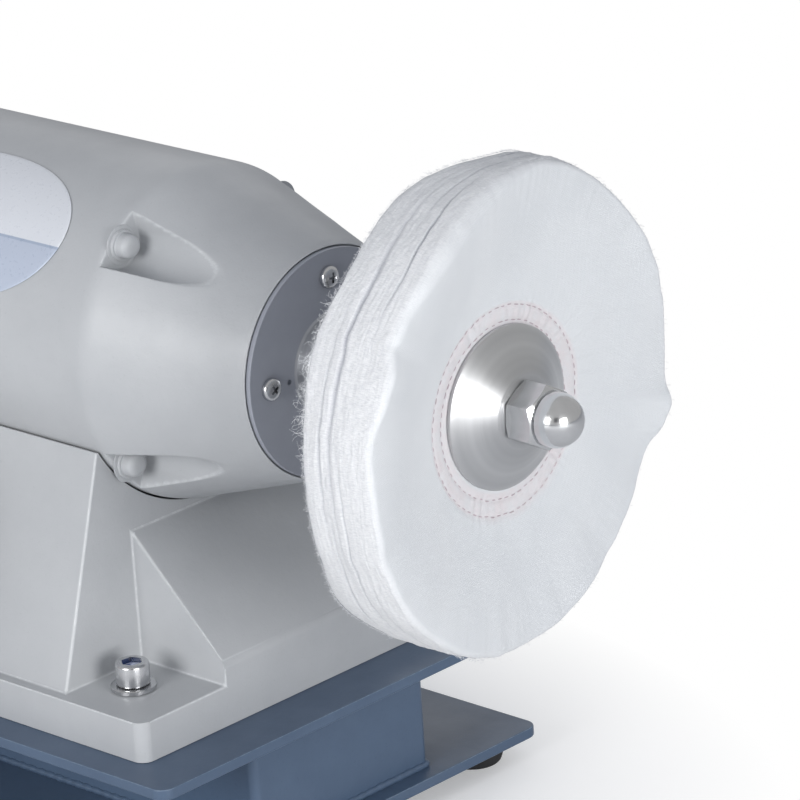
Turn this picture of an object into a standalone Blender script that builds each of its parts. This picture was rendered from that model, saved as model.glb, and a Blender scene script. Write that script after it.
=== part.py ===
"""Double-ended bench buffer: a motor on a cast pedestal with a sewn cloth wheel at each end.

The spindle runs along X and Z points up. The origin is on the surface that the buffer stands on,
below the middle of the motor. The motor's parts are drawn about the spindle, with the spindle on
their X axis, and hang on an empty at the spindle's height.
"""
import math

import bmesh
import bpy
from mathutils import Matrix, Vector

MM = 0.001

# Clearances and cutting
SEAT_GAP = 0.3 * MM          # between pieces that touch
RUNNING_GAP = 0.6 * MM       # between pieces that turn or slide past each other
OVERRUN = 5.0 * MM           # how far a cutter runs past the face that it cuts
WELD = 0.001 * MM            # points closer than this are one point

# Stand: two plates with a box column between them, on rubber feet
FOOT_RADIUS = 18.0 * MM
FOOT_HEIGHT = 12.0 * MM
FOOT_TAPER = 2.5 * MM
FOOT_INSET = 26.0 * MM       # from the plate's edges to the foot's middle
PLATE_END_MARGIN = 32.0 * MM    # plate beyond the casting's sole, at each end
PLATE_SIDE_MARGIN = 18.0 * MM   # plate beyond the casting's sole, in front and behind
PLATE_THICKNESS = 6.0 * MM
PLATE_CORNER = 8.0 * MM
PLATE_EDGE = 0.8 * MM
COLUMN_END_SETBACK = 12.0 * MM      # from the plate's ends
COLUMN_SCREW_SETBACK = 25.0 * MM    # column's front from the hold-down screws' middle
COLUMN_HEIGHT = 56.0 * MM
COLUMN_WALL = 3.0 * MM
COLUMN_CORNER = 5.0 * MM

# Pedestal casting
SHAFT_ABOVE_PEDESTAL = 187.0 * MM   # spindle above the casting's underside
SOLE_DEPTH = 244.0 * MM
SOLE_THICKNESS = 22.0 * MM
SOLE_CORNER = 7.0 * MM
CAST_EDGE = 2.2 * MM                # rounding of the casting's edges
CAST_WALL = 10.0 * MM
BLOCK_LENGTH = 212.0 * MM
SOLE_LEDGE = 6.5 * MM               # sole in front of the block
LIP_ANGLE = math.radians(29.4)      # where the saddle ends, below the spindle's level
LIP_LAND = 2.0 * MM
WING_SCREW_SETBACK = 29.3 * MM      # wing's side from the hold-down screws' middle
WING_HEEL_HEIGHT = 34.0 * MM        # upright side of the wing above the underside
RIDGE_DROP = 3.5 * MM               # wing's ridge below the barrel

# Hold-down screws between pedestal and stand
HOLD_SCREW_OUT = 24.0 * MM          # from the block's end to the screw's middle
HOLD_SCREW_EDGE_X = 38.0 * MM       # from the screw's middle to the sole's end
HOLD_SCREW_EDGE_Y = 32.0 * MM       # from the screw's middle to the sole's front
HOLD_SHANK_RADIUS = 6.0 * MM
HOLD_HEAD_RADIUS = 9.0 * MM
HOLD_HEAD_HEIGHT = 12.0 * MM
HOLD_HEAD_EDGE = 0.9 * MM
HOLD_SOCKET_FLATS = 10.0 * MM
HOLD_SOCKET_DEPTH = 6.0 * MM
HOLD_TAIL = 5.0 * MM                # shank below the stand's top plate
HOLD_HOLE_CLEARANCE = 0.6 * MM
WASHER_RADIUS = 12.0 * MM
WASHER_THICKNESS = 2.5 * MM

# Motor frame
BARREL_RADIUS = 89.3 * MM
FRAME_LENGTH = 192.0 * MM
FRAME_WALL = 17.0 * MM

# End bells
BELL_LENGTH = 101.7 * MM
BELL_BARREL_LENGTH = 14.0 * MM      # straight part before the cone starts
BELL_BLEND = 5.0 * MM               # rounding between the straight part and the cone
BELL_END_RADIUS = 61.6 * MM
BELL_END_ROUND = 3.0 * MM
BELL_WALL = 8.0 * MM
BELL_FLANGE_LENGTH = 13.0 * MM      # what the bell bolts clamp
BEARING_WALL = 10.0 * MM            # floor of the bearing seat

# Bell bolts and their pockets
BELL_BOLT_INSET = 7.3 * MM              # bolt's middle below the barrel's surface
BELL_BOLT_TURN = math.radians(49.0)     # first bolt above the spindle's level, at the front
BELL_BOLT_COUNT = 4
BELL_BOLT_SHANK = 3.0 * MM
BELL_BOLT_HEAD_RADIUS = 6.5 * MM
BELL_BOLT_HEAD_HEIGHT = 8.0 * MM
BELL_BOLT_RING_RADIUS = 8.2 * MM        # captive washer under the head
BELL_BOLT_RING_HEIGHT = 1.6 * MM
BELL_BOLT_EDGE = 1.4 * MM
BELL_BOLT_GRIP = 18.0 * MM              # thread in the motor frame
POCKET_RADIUS = 14.2 * MM
POCKET_OFFSET = 2.5 * MM                # pocket's middle outside the bolt's middle

# Bearings
BEARING_RADIUS = 31.0 * MM
BEARING_BORE_RADIUS = 15.0 * MM
BEARING_WIDTH = 16.0 * MM
BEARING_INNER_RADIUS = 20.0 * MM        # outside of the inner ring
BEARING_EDGE = 0.8 * MM

# Bearing covers
COVER_RADIUS = 60.8 * MM
COVER_THICKNESS = 3.0 * MM
COVER_EDGE = 0.6 * MM
COVER_BOSS_RADIUS = 27.0 * MM
COVER_BOSS_HEIGHT = 11.0 * MM
COVER_BOSS_ROUND = 3.0 * MM
COVER_SPIGOT_LENGTH = 3.0 * MM
COVER_SPIGOT_WALL = 4.0 * MM
COVER_SCREW_CIRCLE = 46.3 * MM
COVER_SCREW_COUNT = 4
COVER_SCREW_SHANK = 2.4 * MM
COVER_SCREW_LENGTH = 12.0 * MM
COVER_SCREW_HEAD_RADIUS = 6.0 * MM
COVER_SCREW_HEAD_HEIGHT = 4.0 * MM
COVER_SCREW_RIM = 1.8 * MM              # upright side of the pan head
CROSS_LENGTH = 6.4 * MM
CROSS_WIDTH = 1.3 * MM
CROSS_DEPTH = 2.0 * MM

# Windings
STATOR_INSET = 41.0 * MM                # from the frame's ends
ROTOR_RADIUS = 43.0 * MM
WINDING_INSET = 6.7 * MM                # from the frame's ends and from its bore
WINDING_SETBACK = 4.0 * MM              # from the stator's bore
WINDING_ROUND = 5.0 * MM

# Spindle
CORE_SHAFT_RADIUS = 20.0 * MM
CORE_SHAFT_MARGIN = 12.0 * MM           # core shaft beyond the rotor, at each end
SHOULDER_RADIUS = 18.0 * MM             # what the bearing's inner ring stops against
NECK_RADIUS = 14.0 * MM
NECK_LENGTH = 69.2 * MM                 # from the bell's end to the inner flange
ARBOR_RADIUS = 10.0 * MM
ARBOR_IN_NUT = 21.0 * MM
SHAFT_CHAMFER = 1.2 * MM

# Flanges that grip a wheel
FLANGE_RADIUS = 42.0 * MM
FLANGE_RIM = 2.6 * MM
FLANGE_HEIGHT = 13.9 * MM
FLANGE_BOSS_RADIUS = 19.8 * MM
FLANGE_EDGE = 0.5 * MM

# Cloth wheels
WHEEL_RADIUS = 125.0 * MM
WHEEL_HUB_WIDTH = 36.0 * MM
WHEEL_GRIP_MARGIN = 3.0 * MM            # flat cloth beyond the flange
WHEEL_EDGE = 5.0 * MM                   # rounding of the two rims
LEFT_WHEEL_TURN = math.radians(140.0)   # the two wheels hang differently
# Rim of the cloth at every 15 degrees from the front over the top, as shares of the hub's width.
# Front faces lean out from the outer flange, back faces lean out from the inner flange.
RIM_FRONT_SHARES = (0.74, 0.77, 0.83, 0.82, 0.79, 0.62, 0.43, 0.22, 0.06, 0.02, 0.06, 0.10,
                    0.01, 0.16, -0.11, -0.03, 0.10, 0.19, 0.28, 0.44, 0.58, 0.66, 0.68, 0.72)
RIM_BACK_SHARES = (0.47, 0.46, 0.42, 0.46, 0.42, 0.36, 0.44, 0.38, 0.22, 0.08, 0.00, 0.00,
                   0.00, 0.00, 0.00, 0.00, 0.02, 0.05, 0.10, 0.16, 0.20, 0.25, 0.31, 0.42)
FACE_RING_SHARES = (0.0, 0.25, 0.6)
FACE_EASE_SHARE = 0.55                  # how much of the lean follows a smooth step

# Domed nuts
NUT_FLATS = 30.0 * MM
NUT_HEX_HEIGHT = 16.0 * MM
NUT_HEIGHT = 34.0 * MM
NUT_DOME_RADIUS = 14.0 * MM
NUT_CHAMFER = 1.6 * MM

# Blank oval plate on the barrel
LABEL_LENGTH = 156.0 * MM
LABEL_HEIGHT = 86.0 * MM                # measured round the barrel
LABEL_THICKNESS = 0.6 * MM
LABEL_ANGLE = math.radians(44.0)        # middle of the plate above the spindle's level

# Switch on the pedestal's front
SWITCH_DEPTH = 25.0 * MM
SWITCH_WALL = 3.0 * MM
SWITCH_SIDE_ROOM = 12.5 * MM            # inside the box, beside a button's rim
SWITCH_END_ROOM = 2.5 * MM              # inside the box, above and below the buttons' rims
SWITCH_CORNER = 5.0 * MM
SWITCH_DOWN_SHARE = 0.463               # of the block's height, from the saddle's lip down
BUTTON_RADIUS = 11.0 * MM
BUTTON_APART = 5.0 * MM                 # between the two buttons' rims
BUTTON_PROUD = 6.0 * MM
BUTTON_STOP_EXTRA = 2.0 * MM            # the stop button stands further out
BUTTON_FLANGE = 2.5 * MM                # the rim that keeps the button in its hole
BUTTON_FLANGE_THICKNESS = 2.0 * MM
BUTTON_EDGE = 1.5 * MM

# Cable gland on the pedestal's back
GLAND_X = 62.0 * MM
GLAND_DOWN_SHARE = 0.777                # of the block's height, from the saddle's lip down
GLAND_RADIUS = 11.0 * MM
GLAND_COLLAR = 6.0 * MM
GLAND_LENGTH = 20.0 * MM
GLAND_NECK_RADIUS = 8.0 * MM
GLAND_BORE_RADIUS = 4.5 * MM
GLAND_BORE_DEPTH = 15.0 * MM
GLAND_EDGE = 1.5 * MM

# How finely round pieces are faceted
LARGE_STEPS = 28
MEDIUM_STEPS = 24
SHAFT_STEPS = 16
HEAD_STEPS = 10
HOLE_STEPS = 10
WHEEL_STEPS = 36
ARC_STEPS = 2
DOME_STEPS = 4

# Sizes that follow from the ones above
hold_screw_x = BLOCK_LENGTH / 2 + HOLD_SCREW_OUT
hold_screw_y = SOLE_DEPTH / 2 - HOLD_SCREW_EDGE_Y
sole_length = 2 * (hold_screw_x + HOLD_SCREW_EDGE_X)
block_sole_depth = SOLE_DEPTH - 2 * SOLE_LEDGE
wing_depth = 2 * (hold_screw_y - WING_SCREW_SETBACK)
plate_length = sole_length + 2 * PLATE_END_MARGIN
plate_depth = SOLE_DEPTH + 2 * PLATE_SIDE_MARGIN
column_length = plate_length - 2 * COLUMN_END_SETBACK
column_depth = 2 * (hold_screw_y - COLUMN_SCREW_SETBACK)
bell_bolt_circle = BARREL_RADIUS - BELL_BOLT_INSET
pocket_axis_radius = bell_bolt_circle + POCKET_OFFSET
button_rim = BUTTON_RADIUS + BUTTON_FLANGE
button_spacing = 2 * button_rim + BUTTON_APART
switch_width = 2 * (button_rim + SWITCH_SIDE_ROOM + SWITCH_WALL)
switch_height = button_spacing + 2 * (button_rim + SWITCH_END_ROOM + SWITCH_WALL)

# Heights and places that follow from the sizes above
floor_plate_z = FOOT_HEIGHT + SEAT_GAP
column_z = floor_plate_z + PLATE_THICKNESS + SEAT_GAP
top_plate_z = column_z + COLUMN_HEIGHT + SEAT_GAP
pedestal_z = top_plate_z + PLATE_THICKNESS + SEAT_GAP
shaft_z = pedestal_z + SHAFT_ABOVE_PEDESTAL
sole_top = SOLE_THICKNESS - SHAFT_ABOVE_PEDESTAL        # from here on, measured from the spindle
saddle_radius = BARREL_RADIUS + SEAT_GAP
frame_end = FRAME_LENGTH / 2
bell_start = frame_end + SEAT_GAP
bell_end = bell_start + BELL_LENGTH
bearing_start = bell_end - COVER_SPIGOT_LENGTH - SEAT_GAP - BEARING_WIDTH
cover_start = bell_end + SEAT_GAP
cover_face = cover_start + COVER_THICKNESS
neck_end = bell_end + NECK_LENGTH
inner_flange_x = neck_end + SEAT_GAP
wheel_back = inner_flange_x + FLANGE_HEIGHT + SEAT_GAP
wheel_front = wheel_back + WHEEL_HUB_WIDTH
outer_flange_x = wheel_front + SEAT_GAP
nut_x = outer_flange_x + FLANGE_HEIGHT + SEAT_GAP
arbor_bore = ARBOR_RADIUS + SEAT_GAP

# Finishes: colour, roughness, metallic
GREY_CASTING = ((0.55, 0.57, 0.59), 0.45, 0.0)
SLATE_COVER = ((0.18, 0.19, 0.22), 0.4, 0.3)
BLUE_STEEL = ((0.07, 0.13, 0.22), 0.4, 0.0)
TURNED_STEEL = ((0.62, 0.63, 0.64), 0.3, 1.0)
CHROME = ((0.75, 0.75, 0.76), 0.1, 1.0)
ZINC = ((0.6, 0.61, 0.63), 0.25, 1.0)
WHITE_COTTON = ((0.82, 0.83, 0.84), 0.95, 0.0)
LABEL_WHITE = ((0.8, 0.82, 0.84), 0.35, 0.0)
BLACK_RUBBER = ((0.03, 0.03, 0.03), 0.8, 0.0)
BLACK_PLASTIC = ((0.04, 0.04, 0.045), 0.5, 0.0)
GREEN_PLASTIC = ((0.03, 0.35, 0.1), 0.4, 0.0)
RED_PLASTIC = ((0.55, 0.03, 0.03), 0.4, 0.0)
LAMINATION = ((0.3, 0.3, 0.31), 0.5, 0.8)
COPPER = ((0.6, 0.28, 0.14), 0.4, 0.7)

SMOOTH_ANGLE = math.radians(35.0)
FULL_TURN = math.tau


# Shapes

def turned(profile, steps):
    """A solid turned about X from (x, radius) points; it is open only where both ends are on the axis."""
    bm = bmesh.new()
    points = [bm.verts.new((x, 0.0, radius)) for x, radius in profile]
    edges = [bm.edges.new(pair) for pair in zip(points, points[1:])]
    on_axis = profile[0][1] == 0.0 and profile[-1][1] == 0.0
    if not on_axis:
        edges.append(bm.edges.new((points[-1], points[0])))
    bmesh.ops.spin(bm, geom=points + edges, cent=(0, 0, 0), axis=(1, 0, 0),
                   angle=FULL_TURN, steps=steps, use_merge=True)
    bmesh.ops.remove_doubles(bm, verts=bm.verts[:], dist=WELD)
    bmesh.ops.recalc_face_normals(bm, faces=bm.faces[:])
    return bm


def rod(low, high, radius, steps):
    """A plain round bar along X."""
    return turned([(low, 0.0), (low, radius), (high, radius), (high, 0.0)], steps)


def prism(outline, low, high, axis):
    """An outline pushed from low to high along X, Y or Z; it lies in the other two axes, in order."""
    place = {"X": lambda a, b, h: (h, a, b), "Y": lambda a, b, h: (a, h, b), "Z": lambda a, b, h: (a, b, h)}
    bm = bmesh.new()
    face = bm.faces.new([bm.verts.new(place[axis](a, b, low)) for a, b in outline])
    grown = bmesh.ops.extrude_face_region(bm, geom=[face])
    moved = [item for item in grown["geom"] if isinstance(item, bmesh.types.BMVert)]
    bmesh.ops.translate(bm, verts=moved, vec=place[axis](0.0, 0.0, high - low))
    bmesh.ops.recalc_face_normals(bm, faces=bm.faces[:])
    return bm


def box(low, high):
    """An upright box between two corners."""
    outline = [(low[0], low[1]), (high[0], low[1]), (high[0], high[1]), (low[0], high[1])]
    return prism(outline, low[2], high[2], "Z")


def centred_box(length, depth, low, high):
    """An upright box about the Z axis."""
    return box((-length / 2, -depth / 2, low), (length / 2, depth / 2, high))


def hexagon(flats, low, high):
    """A six-sided bar along X with corners at the top and bottom."""
    corner = flats / 2 / math.cos(FULL_TURN / 12)
    turns = [FULL_TURN * side / 6 for side in range(6)]
    outline = [(corner * math.sin(turn), corner * math.cos(turn)) for turn in turns]
    return prism(outline, low, high, "X")


def round_edges(bm, chosen, radius, steps=1):
    """Round the edges that chosen picks by their two end points."""
    edges = [edge for edge in bm.edges if chosen(edge.verts[0].co, edge.verts[1].co)]
    bmesh.ops.bevel(bm, geom=edges, offset=radius, segments=steps, profile=0.5,
                    affect="EDGES", clamp_overlap=True, material=-1)
    return bm


def upright(a, b):
    """True for an edge along Z."""
    return abs(a.x - b.x) + abs(a.y - b.y) < WELD


def arc(centre, radius, start, end, steps):
    """Points on an arc, for profiles."""
    turns = [start + (end - start) * step / steps for step in range(steps + 1)]
    return [(centre[0] + radius * math.cos(turn), centre[1] + radius * math.sin(turn)) for turn in turns]


def corner_arc(before, corner, after, reach, steps):
    """Points of a smooth curve that replaces an outline's corner, starting reach away from it."""
    at, to_before, to_after = Vector(corner), Vector(before), Vector(after)
    start = at + (to_before - at).normalized() * reach
    end = at + (to_after - at).normalized() * reach
    shares = [step / steps for step in range(steps + 1)]
    return [tuple(start * (1 - s) ** 2 + at * 2 * s * (1 - s) + end * s ** 2) for s in shares]


# Objects

def make_mesh(name, bm, smooth):
    """Turn a bmesh into mesh data with smooth round faces."""
    mesh = bpy.data.meshes.new(name)
    bm.to_mesh(mesh)
    bm.free()
    if smooth:
        mesh.shade_smooth()
        mesh.set_sharp_from_angle(angle=SMOOTH_ANGLE)
    return mesh


def combine(name, base, added=(), cut=(), shared=(), smooth=True):
    """Join shapes to a base, cut others from it, keep what it shares with the last, and return one mesh."""
    body = bpy.data.objects.new(name, make_mesh(name, base, False))
    bpy.context.collection.objects.link(body)
    helpers = []
    for operation, shapes in (("UNION", added), ("DIFFERENCE", cut), ("INTERSECT", shared)):
        for shape in shapes:
            helper = bpy.data.objects.new(name + "_helper", make_mesh(name, shape, False))
            bpy.context.collection.objects.link(helper)
            modifier = body.modifiers.new(operation, "BOOLEAN")
            modifier.operation = operation
            modifier.solver = "EXACT"
            modifier.object = helper
            helpers.append(helper)
    depsgraph = bpy.context.evaluated_depsgraph_get()
    mesh = bpy.data.meshes.new_from_object(body.evaluated_get(depsgraph))
    for helper in helpers + [body]:
        bpy.data.objects.remove(helper, do_unlink=True)
    if smooth:
        mesh.shade_smooth()
        mesh.set_sharp_from_angle(angle=SMOOTH_ANGLE)
    return mesh


def give_finish(mesh, name, finish):
    """Give a mesh its own material."""
    colour, roughness, metallic = finish
    material = bpy.data.materials.new(name + "_finish")
    material.use_nodes = True
    shader = material.node_tree.nodes["Principled BSDF"]
    shader.inputs["Base Color"].default_value = (*colour, 1.0)
    shader.inputs["Roughness"].default_value = roughness
    shader.inputs["Metallic"].default_value = metallic
    mesh.materials.clear()
    mesh.materials.append(material)


def add_piece(name, mesh, finish, parent=None, place=(0.0, 0.0, 0.0), turn=None):
    """Put one named piece in the scene."""
    if mesh.users:
        mesh = mesh.copy()
    give_finish(mesh, name, finish)
    piece = bpy.data.objects.new(name, mesh)
    bpy.context.collection.objects.link(piece)
    piece.parent = parent
    piece.location = place
    if turn is not None:
        piece.rotation_euler = turn
    return piece


def add_empty(name, place, turn=(0.0, 0.0, 0.0)):
    """Put an axis cross in the scene, to hang pieces on."""
    empty = bpy.data.objects.new(name, None)
    bpy.context.collection.objects.link(empty)
    empty.location = place
    empty.rotation_euler = turn
    return empty


# Stand

def plate_mesh(name, holes):
    """A steel plate with rounded corners and round holes at the given places."""
    plate = centred_box(plate_length, plate_depth, 0.0, PLATE_THICKNESS)
    round_edges(plate, upright, PLATE_CORNER, ARC_STEPS)
    round_edges(plate, lambda a, b: abs(a.z - b.z) < WELD, PLATE_EDGE)
    cutters = []
    for x, y, radius in holes:
        cutter = rod(-OVERRUN, PLATE_THICKNESS + OVERRUN, radius, SHAFT_STEPS)
        stand_up(cutter, x, y)
        cutters.append(cutter)
    return combine(name, plate, cut=cutters, smooth=False)


def stand_up(bm, x, y):
    """Turn a shape that lies along X until it points up, at a place on the floor plan."""
    upwards = Matrix.Rotation(-FULL_TURN / 4, 4, "Y")
    bmesh.ops.transform(bm, matrix=Matrix.Translation((x, y, 0.0)) @ upwards, verts=bm.verts[:])


def hold_screw_places():
    """Where the four hold-down screws stand."""
    return [(sx * hold_screw_x, sy * hold_screw_y) for sx in (1, -1) for sy in (-1, 1)]


def add_stand():
    """Feet, floor plate, box column and top plate."""
    foot = turned([(0.0, 0.0), (0.0, FOOT_RADIUS - FOOT_TAPER), (FOOT_TAPER, FOOT_RADIUS),
                   (FOOT_HEIGHT, FOOT_RADIUS), (FOOT_HEIGHT, 0.0)], SHAFT_STEPS)
    stand_up(foot, 0.0, 0.0)
    foot_mesh = make_mesh("rubber_foot", foot, True)
    foot_x = plate_length / 2 - FOOT_INSET
    foot_y = plate_depth / 2 - FOOT_INSET
    corners = {"front_right": (1, -1), "front_left": (-1, -1), "rear_right": (1, 1), "rear_left": (-1, 1)}
    for corner, (sx, sy) in corners.items():
        add_piece("rubber_foot_" + corner, foot_mesh, BLACK_RUBBER, place=(sx * foot_x, sy * foot_y, 0.0))

    floor_plate = plate_mesh("stand_floor_plate", [])
    add_piece("stand_floor_plate", floor_plate, BLUE_STEEL, place=(0, 0, floor_plate_z))

    outside = centred_box(column_length, column_depth, 0.0, COLUMN_HEIGHT)
    round_edges(outside, upright, COLUMN_CORNER, ARC_STEPS)
    inside = centred_box(column_length - 2 * COLUMN_WALL, column_depth - 2 * COLUMN_WALL,
                         -OVERRUN, COLUMN_HEIGHT + OVERRUN)
    column = combine("stand_column", outside, cut=[inside])
    add_piece("stand_column", column, BLUE_STEEL, place=(0, 0, column_z))

    hole = HOLD_SHANK_RADIUS + SEAT_GAP
    top = plate_mesh("stand_top_plate", [(x, y, hole) for x, y in hold_screw_places()])
    add_piece("stand_top_plate", top, BLUE_STEEL, place=(0, 0, top_plate_z))


# Pedestal

def block_half_depth(z):
    """Half the block's depth at a height measured from the spindle."""
    top_y, top_z = lip_corner()
    slope = (block_sole_depth / 2 - top_y) / (top_z - sole_top)
    return top_y + (top_z - z) * slope


def lip_corner():
    """The outer corner of the saddle's lip: half depth, and height from the spindle."""
    return saddle_radius * math.cos(LIP_ANGLE) + LIP_LAND, -saddle_radius * math.sin(LIP_ANGLE)


def place_on_block(down_share):
    """Height, measured from the spindle, of a place that is a share of the block's height below its lip."""
    lip_z = lip_corner()[1]
    return lip_z + (sole_top - lip_z) * down_share


def front_slope():
    """How far the block's front leans back from upright."""
    top_y, top_z = lip_corner()
    return math.atan2(block_sole_depth / 2 - top_y, top_z - sole_top)


def mirrored(half_outline):
    """A whole outline from its right half, listed upwards."""
    return half_outline + [(-a, b) for a, b in reversed(half_outline)]


def wing_height(x):
    """Height of the wing's slope above a place along X, measured from the spindle."""
    ridge_z = -(BARREL_RADIUS + RIDGE_DROP)
    heel_z = WING_HEEL_HEIGHT - SHAFT_ABOVE_PEDESTAL
    run = (sole_length - BLOCK_LENGTH) / 2
    return ridge_z + (heel_z - ridge_z) * (x - BLOCK_LENGTH / 2) / run


def add_pedestal():
    """The hollow casting that carries the motor in its saddle."""
    underside = -SHAFT_ABOVE_PEDESTAL
    buried = underside + SOLE_THICKNESS / 2
    sole = centred_box(sole_length, SOLE_DEPTH, underside, sole_top)
    round_edges(sole, upright, SOLE_CORNER, ARC_STEPS)
    round_edges(sole, lambda a, b: min(a.z, b.z) > sole_top - WELD, CAST_EDGE)

    lip_y, lip_z = lip_corner()
    block = prism(mirrored([(block_half_depth(buried), buried), (lip_y, lip_z)]),
                  -BLOCK_LENGTH / 2, BLOCK_LENGTH / 2, "X")
    round_edges(block, lambda a, b: abs(a.x - b.x) < WELD and abs(a.z - b.z) > WELD, CAST_EDGE)

    reach = sole_length / 2
    ridge_x = BLOCK_LENGTH / 2
    wing_half = [(reach, buried), (reach, wing_height(reach)), (ridge_x, wing_height(ridge_x))]
    wings = prism(mirrored(wing_half), -wing_depth / 2, wing_depth / 2, "Y")
    round_edges(wings, lambda a, b: abs(a.y - b.y) < WELD and min(a.z, b.z) > buried - WELD
                and max(a.z, b.z) > buried + WELD, CAST_EDGE)

    saddle = rod(-sole_length, sole_length, saddle_radius, LARGE_STEPS)

    low = underside - OVERRUN
    roof = -(saddle_radius + CAST_WALL)
    hollow = prism(mirrored([(block_half_depth(sole_top) - CAST_WALL, low),
                             (block_half_depth(roof) - CAST_WALL, roof)]),
                   CAST_WALL - BLOCK_LENGTH / 2, BLOCK_LENGTH / 2 - CAST_WALL, "X")
    slope = math.atan2(wing_height(ridge_x) - wing_height(reach), reach - ridge_x)
    drop = CAST_WALL / math.cos(slope)
    inner_reach = reach - CAST_WALL
    roof_x = ridge_x + (wing_height(ridge_x) - drop - roof) / math.tan(slope)
    wing_hollow = prism(mirrored([(inner_reach, low), (inner_reach, wing_height(inner_reach) - drop),
                                  (roof_x, roof)]),
                        CAST_WALL - wing_depth / 2, wing_depth / 2 - CAST_WALL, "Y")

    holes = []
    for x, y in hold_screw_places():
        hole = rod(low, sole_top + OVERRUN, HOLD_SHANK_RADIUS + HOLD_HOLE_CLEARANCE, SHAFT_STEPS)
        stand_up(hole, x, y)
        holes.append(hole)
    mesh = combine("pedestal", sole, added=[block, wings], cut=[saddle, hollow, wing_hollow] + holes)
    add_piece("pedestal", mesh, GREY_CASTING, place=(0, 0, shaft_z))


def add_hold_screws():
    """Socket head screws and washers that hold the pedestal to the stand."""
    washer_z = shaft_z + sole_top + SEAT_GAP
    seat_z = washer_z + WASHER_THICKNESS + SEAT_GAP
    shank = WASHER_THICKNESS + SOLE_THICKNESS + PLATE_THICKNESS + HOLD_TAIL
    top = HOLD_HEAD_HEIGHT
    head = turned([(-shank, 0.0), (-shank, HOLD_SHANK_RADIUS - HOLD_HEAD_EDGE),
                   (HOLD_HEAD_EDGE - shank, HOLD_SHANK_RADIUS), (0.0, HOLD_SHANK_RADIUS),
                   (0.0, HOLD_HEAD_RADIUS), (top - HOLD_HEAD_EDGE, HOLD_HEAD_RADIUS),
                   (top, HOLD_HEAD_RADIUS - HOLD_HEAD_EDGE), (top, 0.0)], HEAD_STEPS)
    socket = hexagon(HOLD_SOCKET_FLATS, top - HOLD_SOCKET_DEPTH, top + OVERRUN)
    stand_up(head, 0.0, 0.0)
    stand_up(socket, 0.0, 0.0)
    screw_mesh = combine("hold_screw", head, cut=[socket])
    bore = HOLD_SHANK_RADIUS + HOLD_HOLE_CLEARANCE
    washer = turned([(0.0, bore), (0.0, WASHER_RADIUS), (WASHER_THICKNESS, WASHER_RADIUS),
                     (WASHER_THICKNESS, bore)], HEAD_STEPS)
    stand_up(washer, 0.0, 0.0)
    washer_mesh = make_mesh("hold_washer", washer, True)
    for number, (x, y) in enumerate(hold_screw_places(), 1):
        add_piece("hold_screw_%d" % number, screw_mesh, ZINC, place=(x, y, seat_z))
        add_piece("hold_washer_%d" % number, washer_mesh, ZINC, place=(x, y, washer_z))


# Motor

def around(circle, turn, count):
    """Places (y, z) evenly round the spindle; turn is the first one above the front."""
    turns = [turn + FULL_TURN * number / count for number in range(count)]
    return [(-circle * math.cos(angle), circle * math.sin(angle)) for angle in turns]


def rods_around(places, low, high, radius, steps):
    """Round bars along X at several places, as cutters, with their corners off the neighbours' edges."""
    bars = []
    half_step = Matrix.Rotation(FULL_TURN / steps / 2, 4, "X")
    for y, z in places:
        bar = rod(low, high, radius, steps)
        bmesh.ops.transform(bar, matrix=Matrix.Translation((0.0, y, z)) @ half_step, verts=bar.verts[:])
        bars.append(bar)
    return bars


def bell_bolt_places():
    """Where the bell bolts stand."""
    return around(bell_bolt_circle, BELL_BOLT_TURN, BELL_BOLT_COUNT)


def add_motor_frame(motor):
    """The barrel with the threaded holes for the bell bolts in both ends."""
    bore = BARREL_RADIUS - FRAME_WALL
    barrel = turned([(-frame_end, bore), (-frame_end, BARREL_RADIUS),
                     (frame_end, BARREL_RADIUS), (frame_end, bore)], LARGE_STEPS)
    hole = BELL_BOLT_SHANK + SEAT_GAP
    depth = BELL_BOLT_GRIP + OVERRUN
    right = rods_around(bell_bolt_places(), frame_end - depth, frame_end + OVERRUN, hole, HOLE_STEPS)
    left_places = [(-y, z) for y, z in bell_bolt_places()]
    left = rods_around(left_places, -frame_end - OVERRUN, depth - frame_end, hole, HOLE_STEPS)
    add_piece("motor_frame", combine("motor_frame", barrel, cut=right + left), GREY_CASTING, motor)


def bell_outline():
    """The bell's outside, from its seam to its end face."""
    cone_start = bell_start + BELL_BARREL_LENGTH
    shoulder = corner_arc((bell_start, BARREL_RADIUS), (cone_start, BARREL_RADIUS),
                          (bell_end, BELL_END_RADIUS), BELL_BLEND, ARC_STEPS)
    nose = corner_arc((cone_start, BARREL_RADIUS), (bell_end, BELL_END_RADIUS),
                      (bell_end, BEARING_RADIUS), BELL_END_ROUND, ARC_STEPS)
    return [(bell_start, BARREL_RADIUS)] + shoulder + nose


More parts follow.
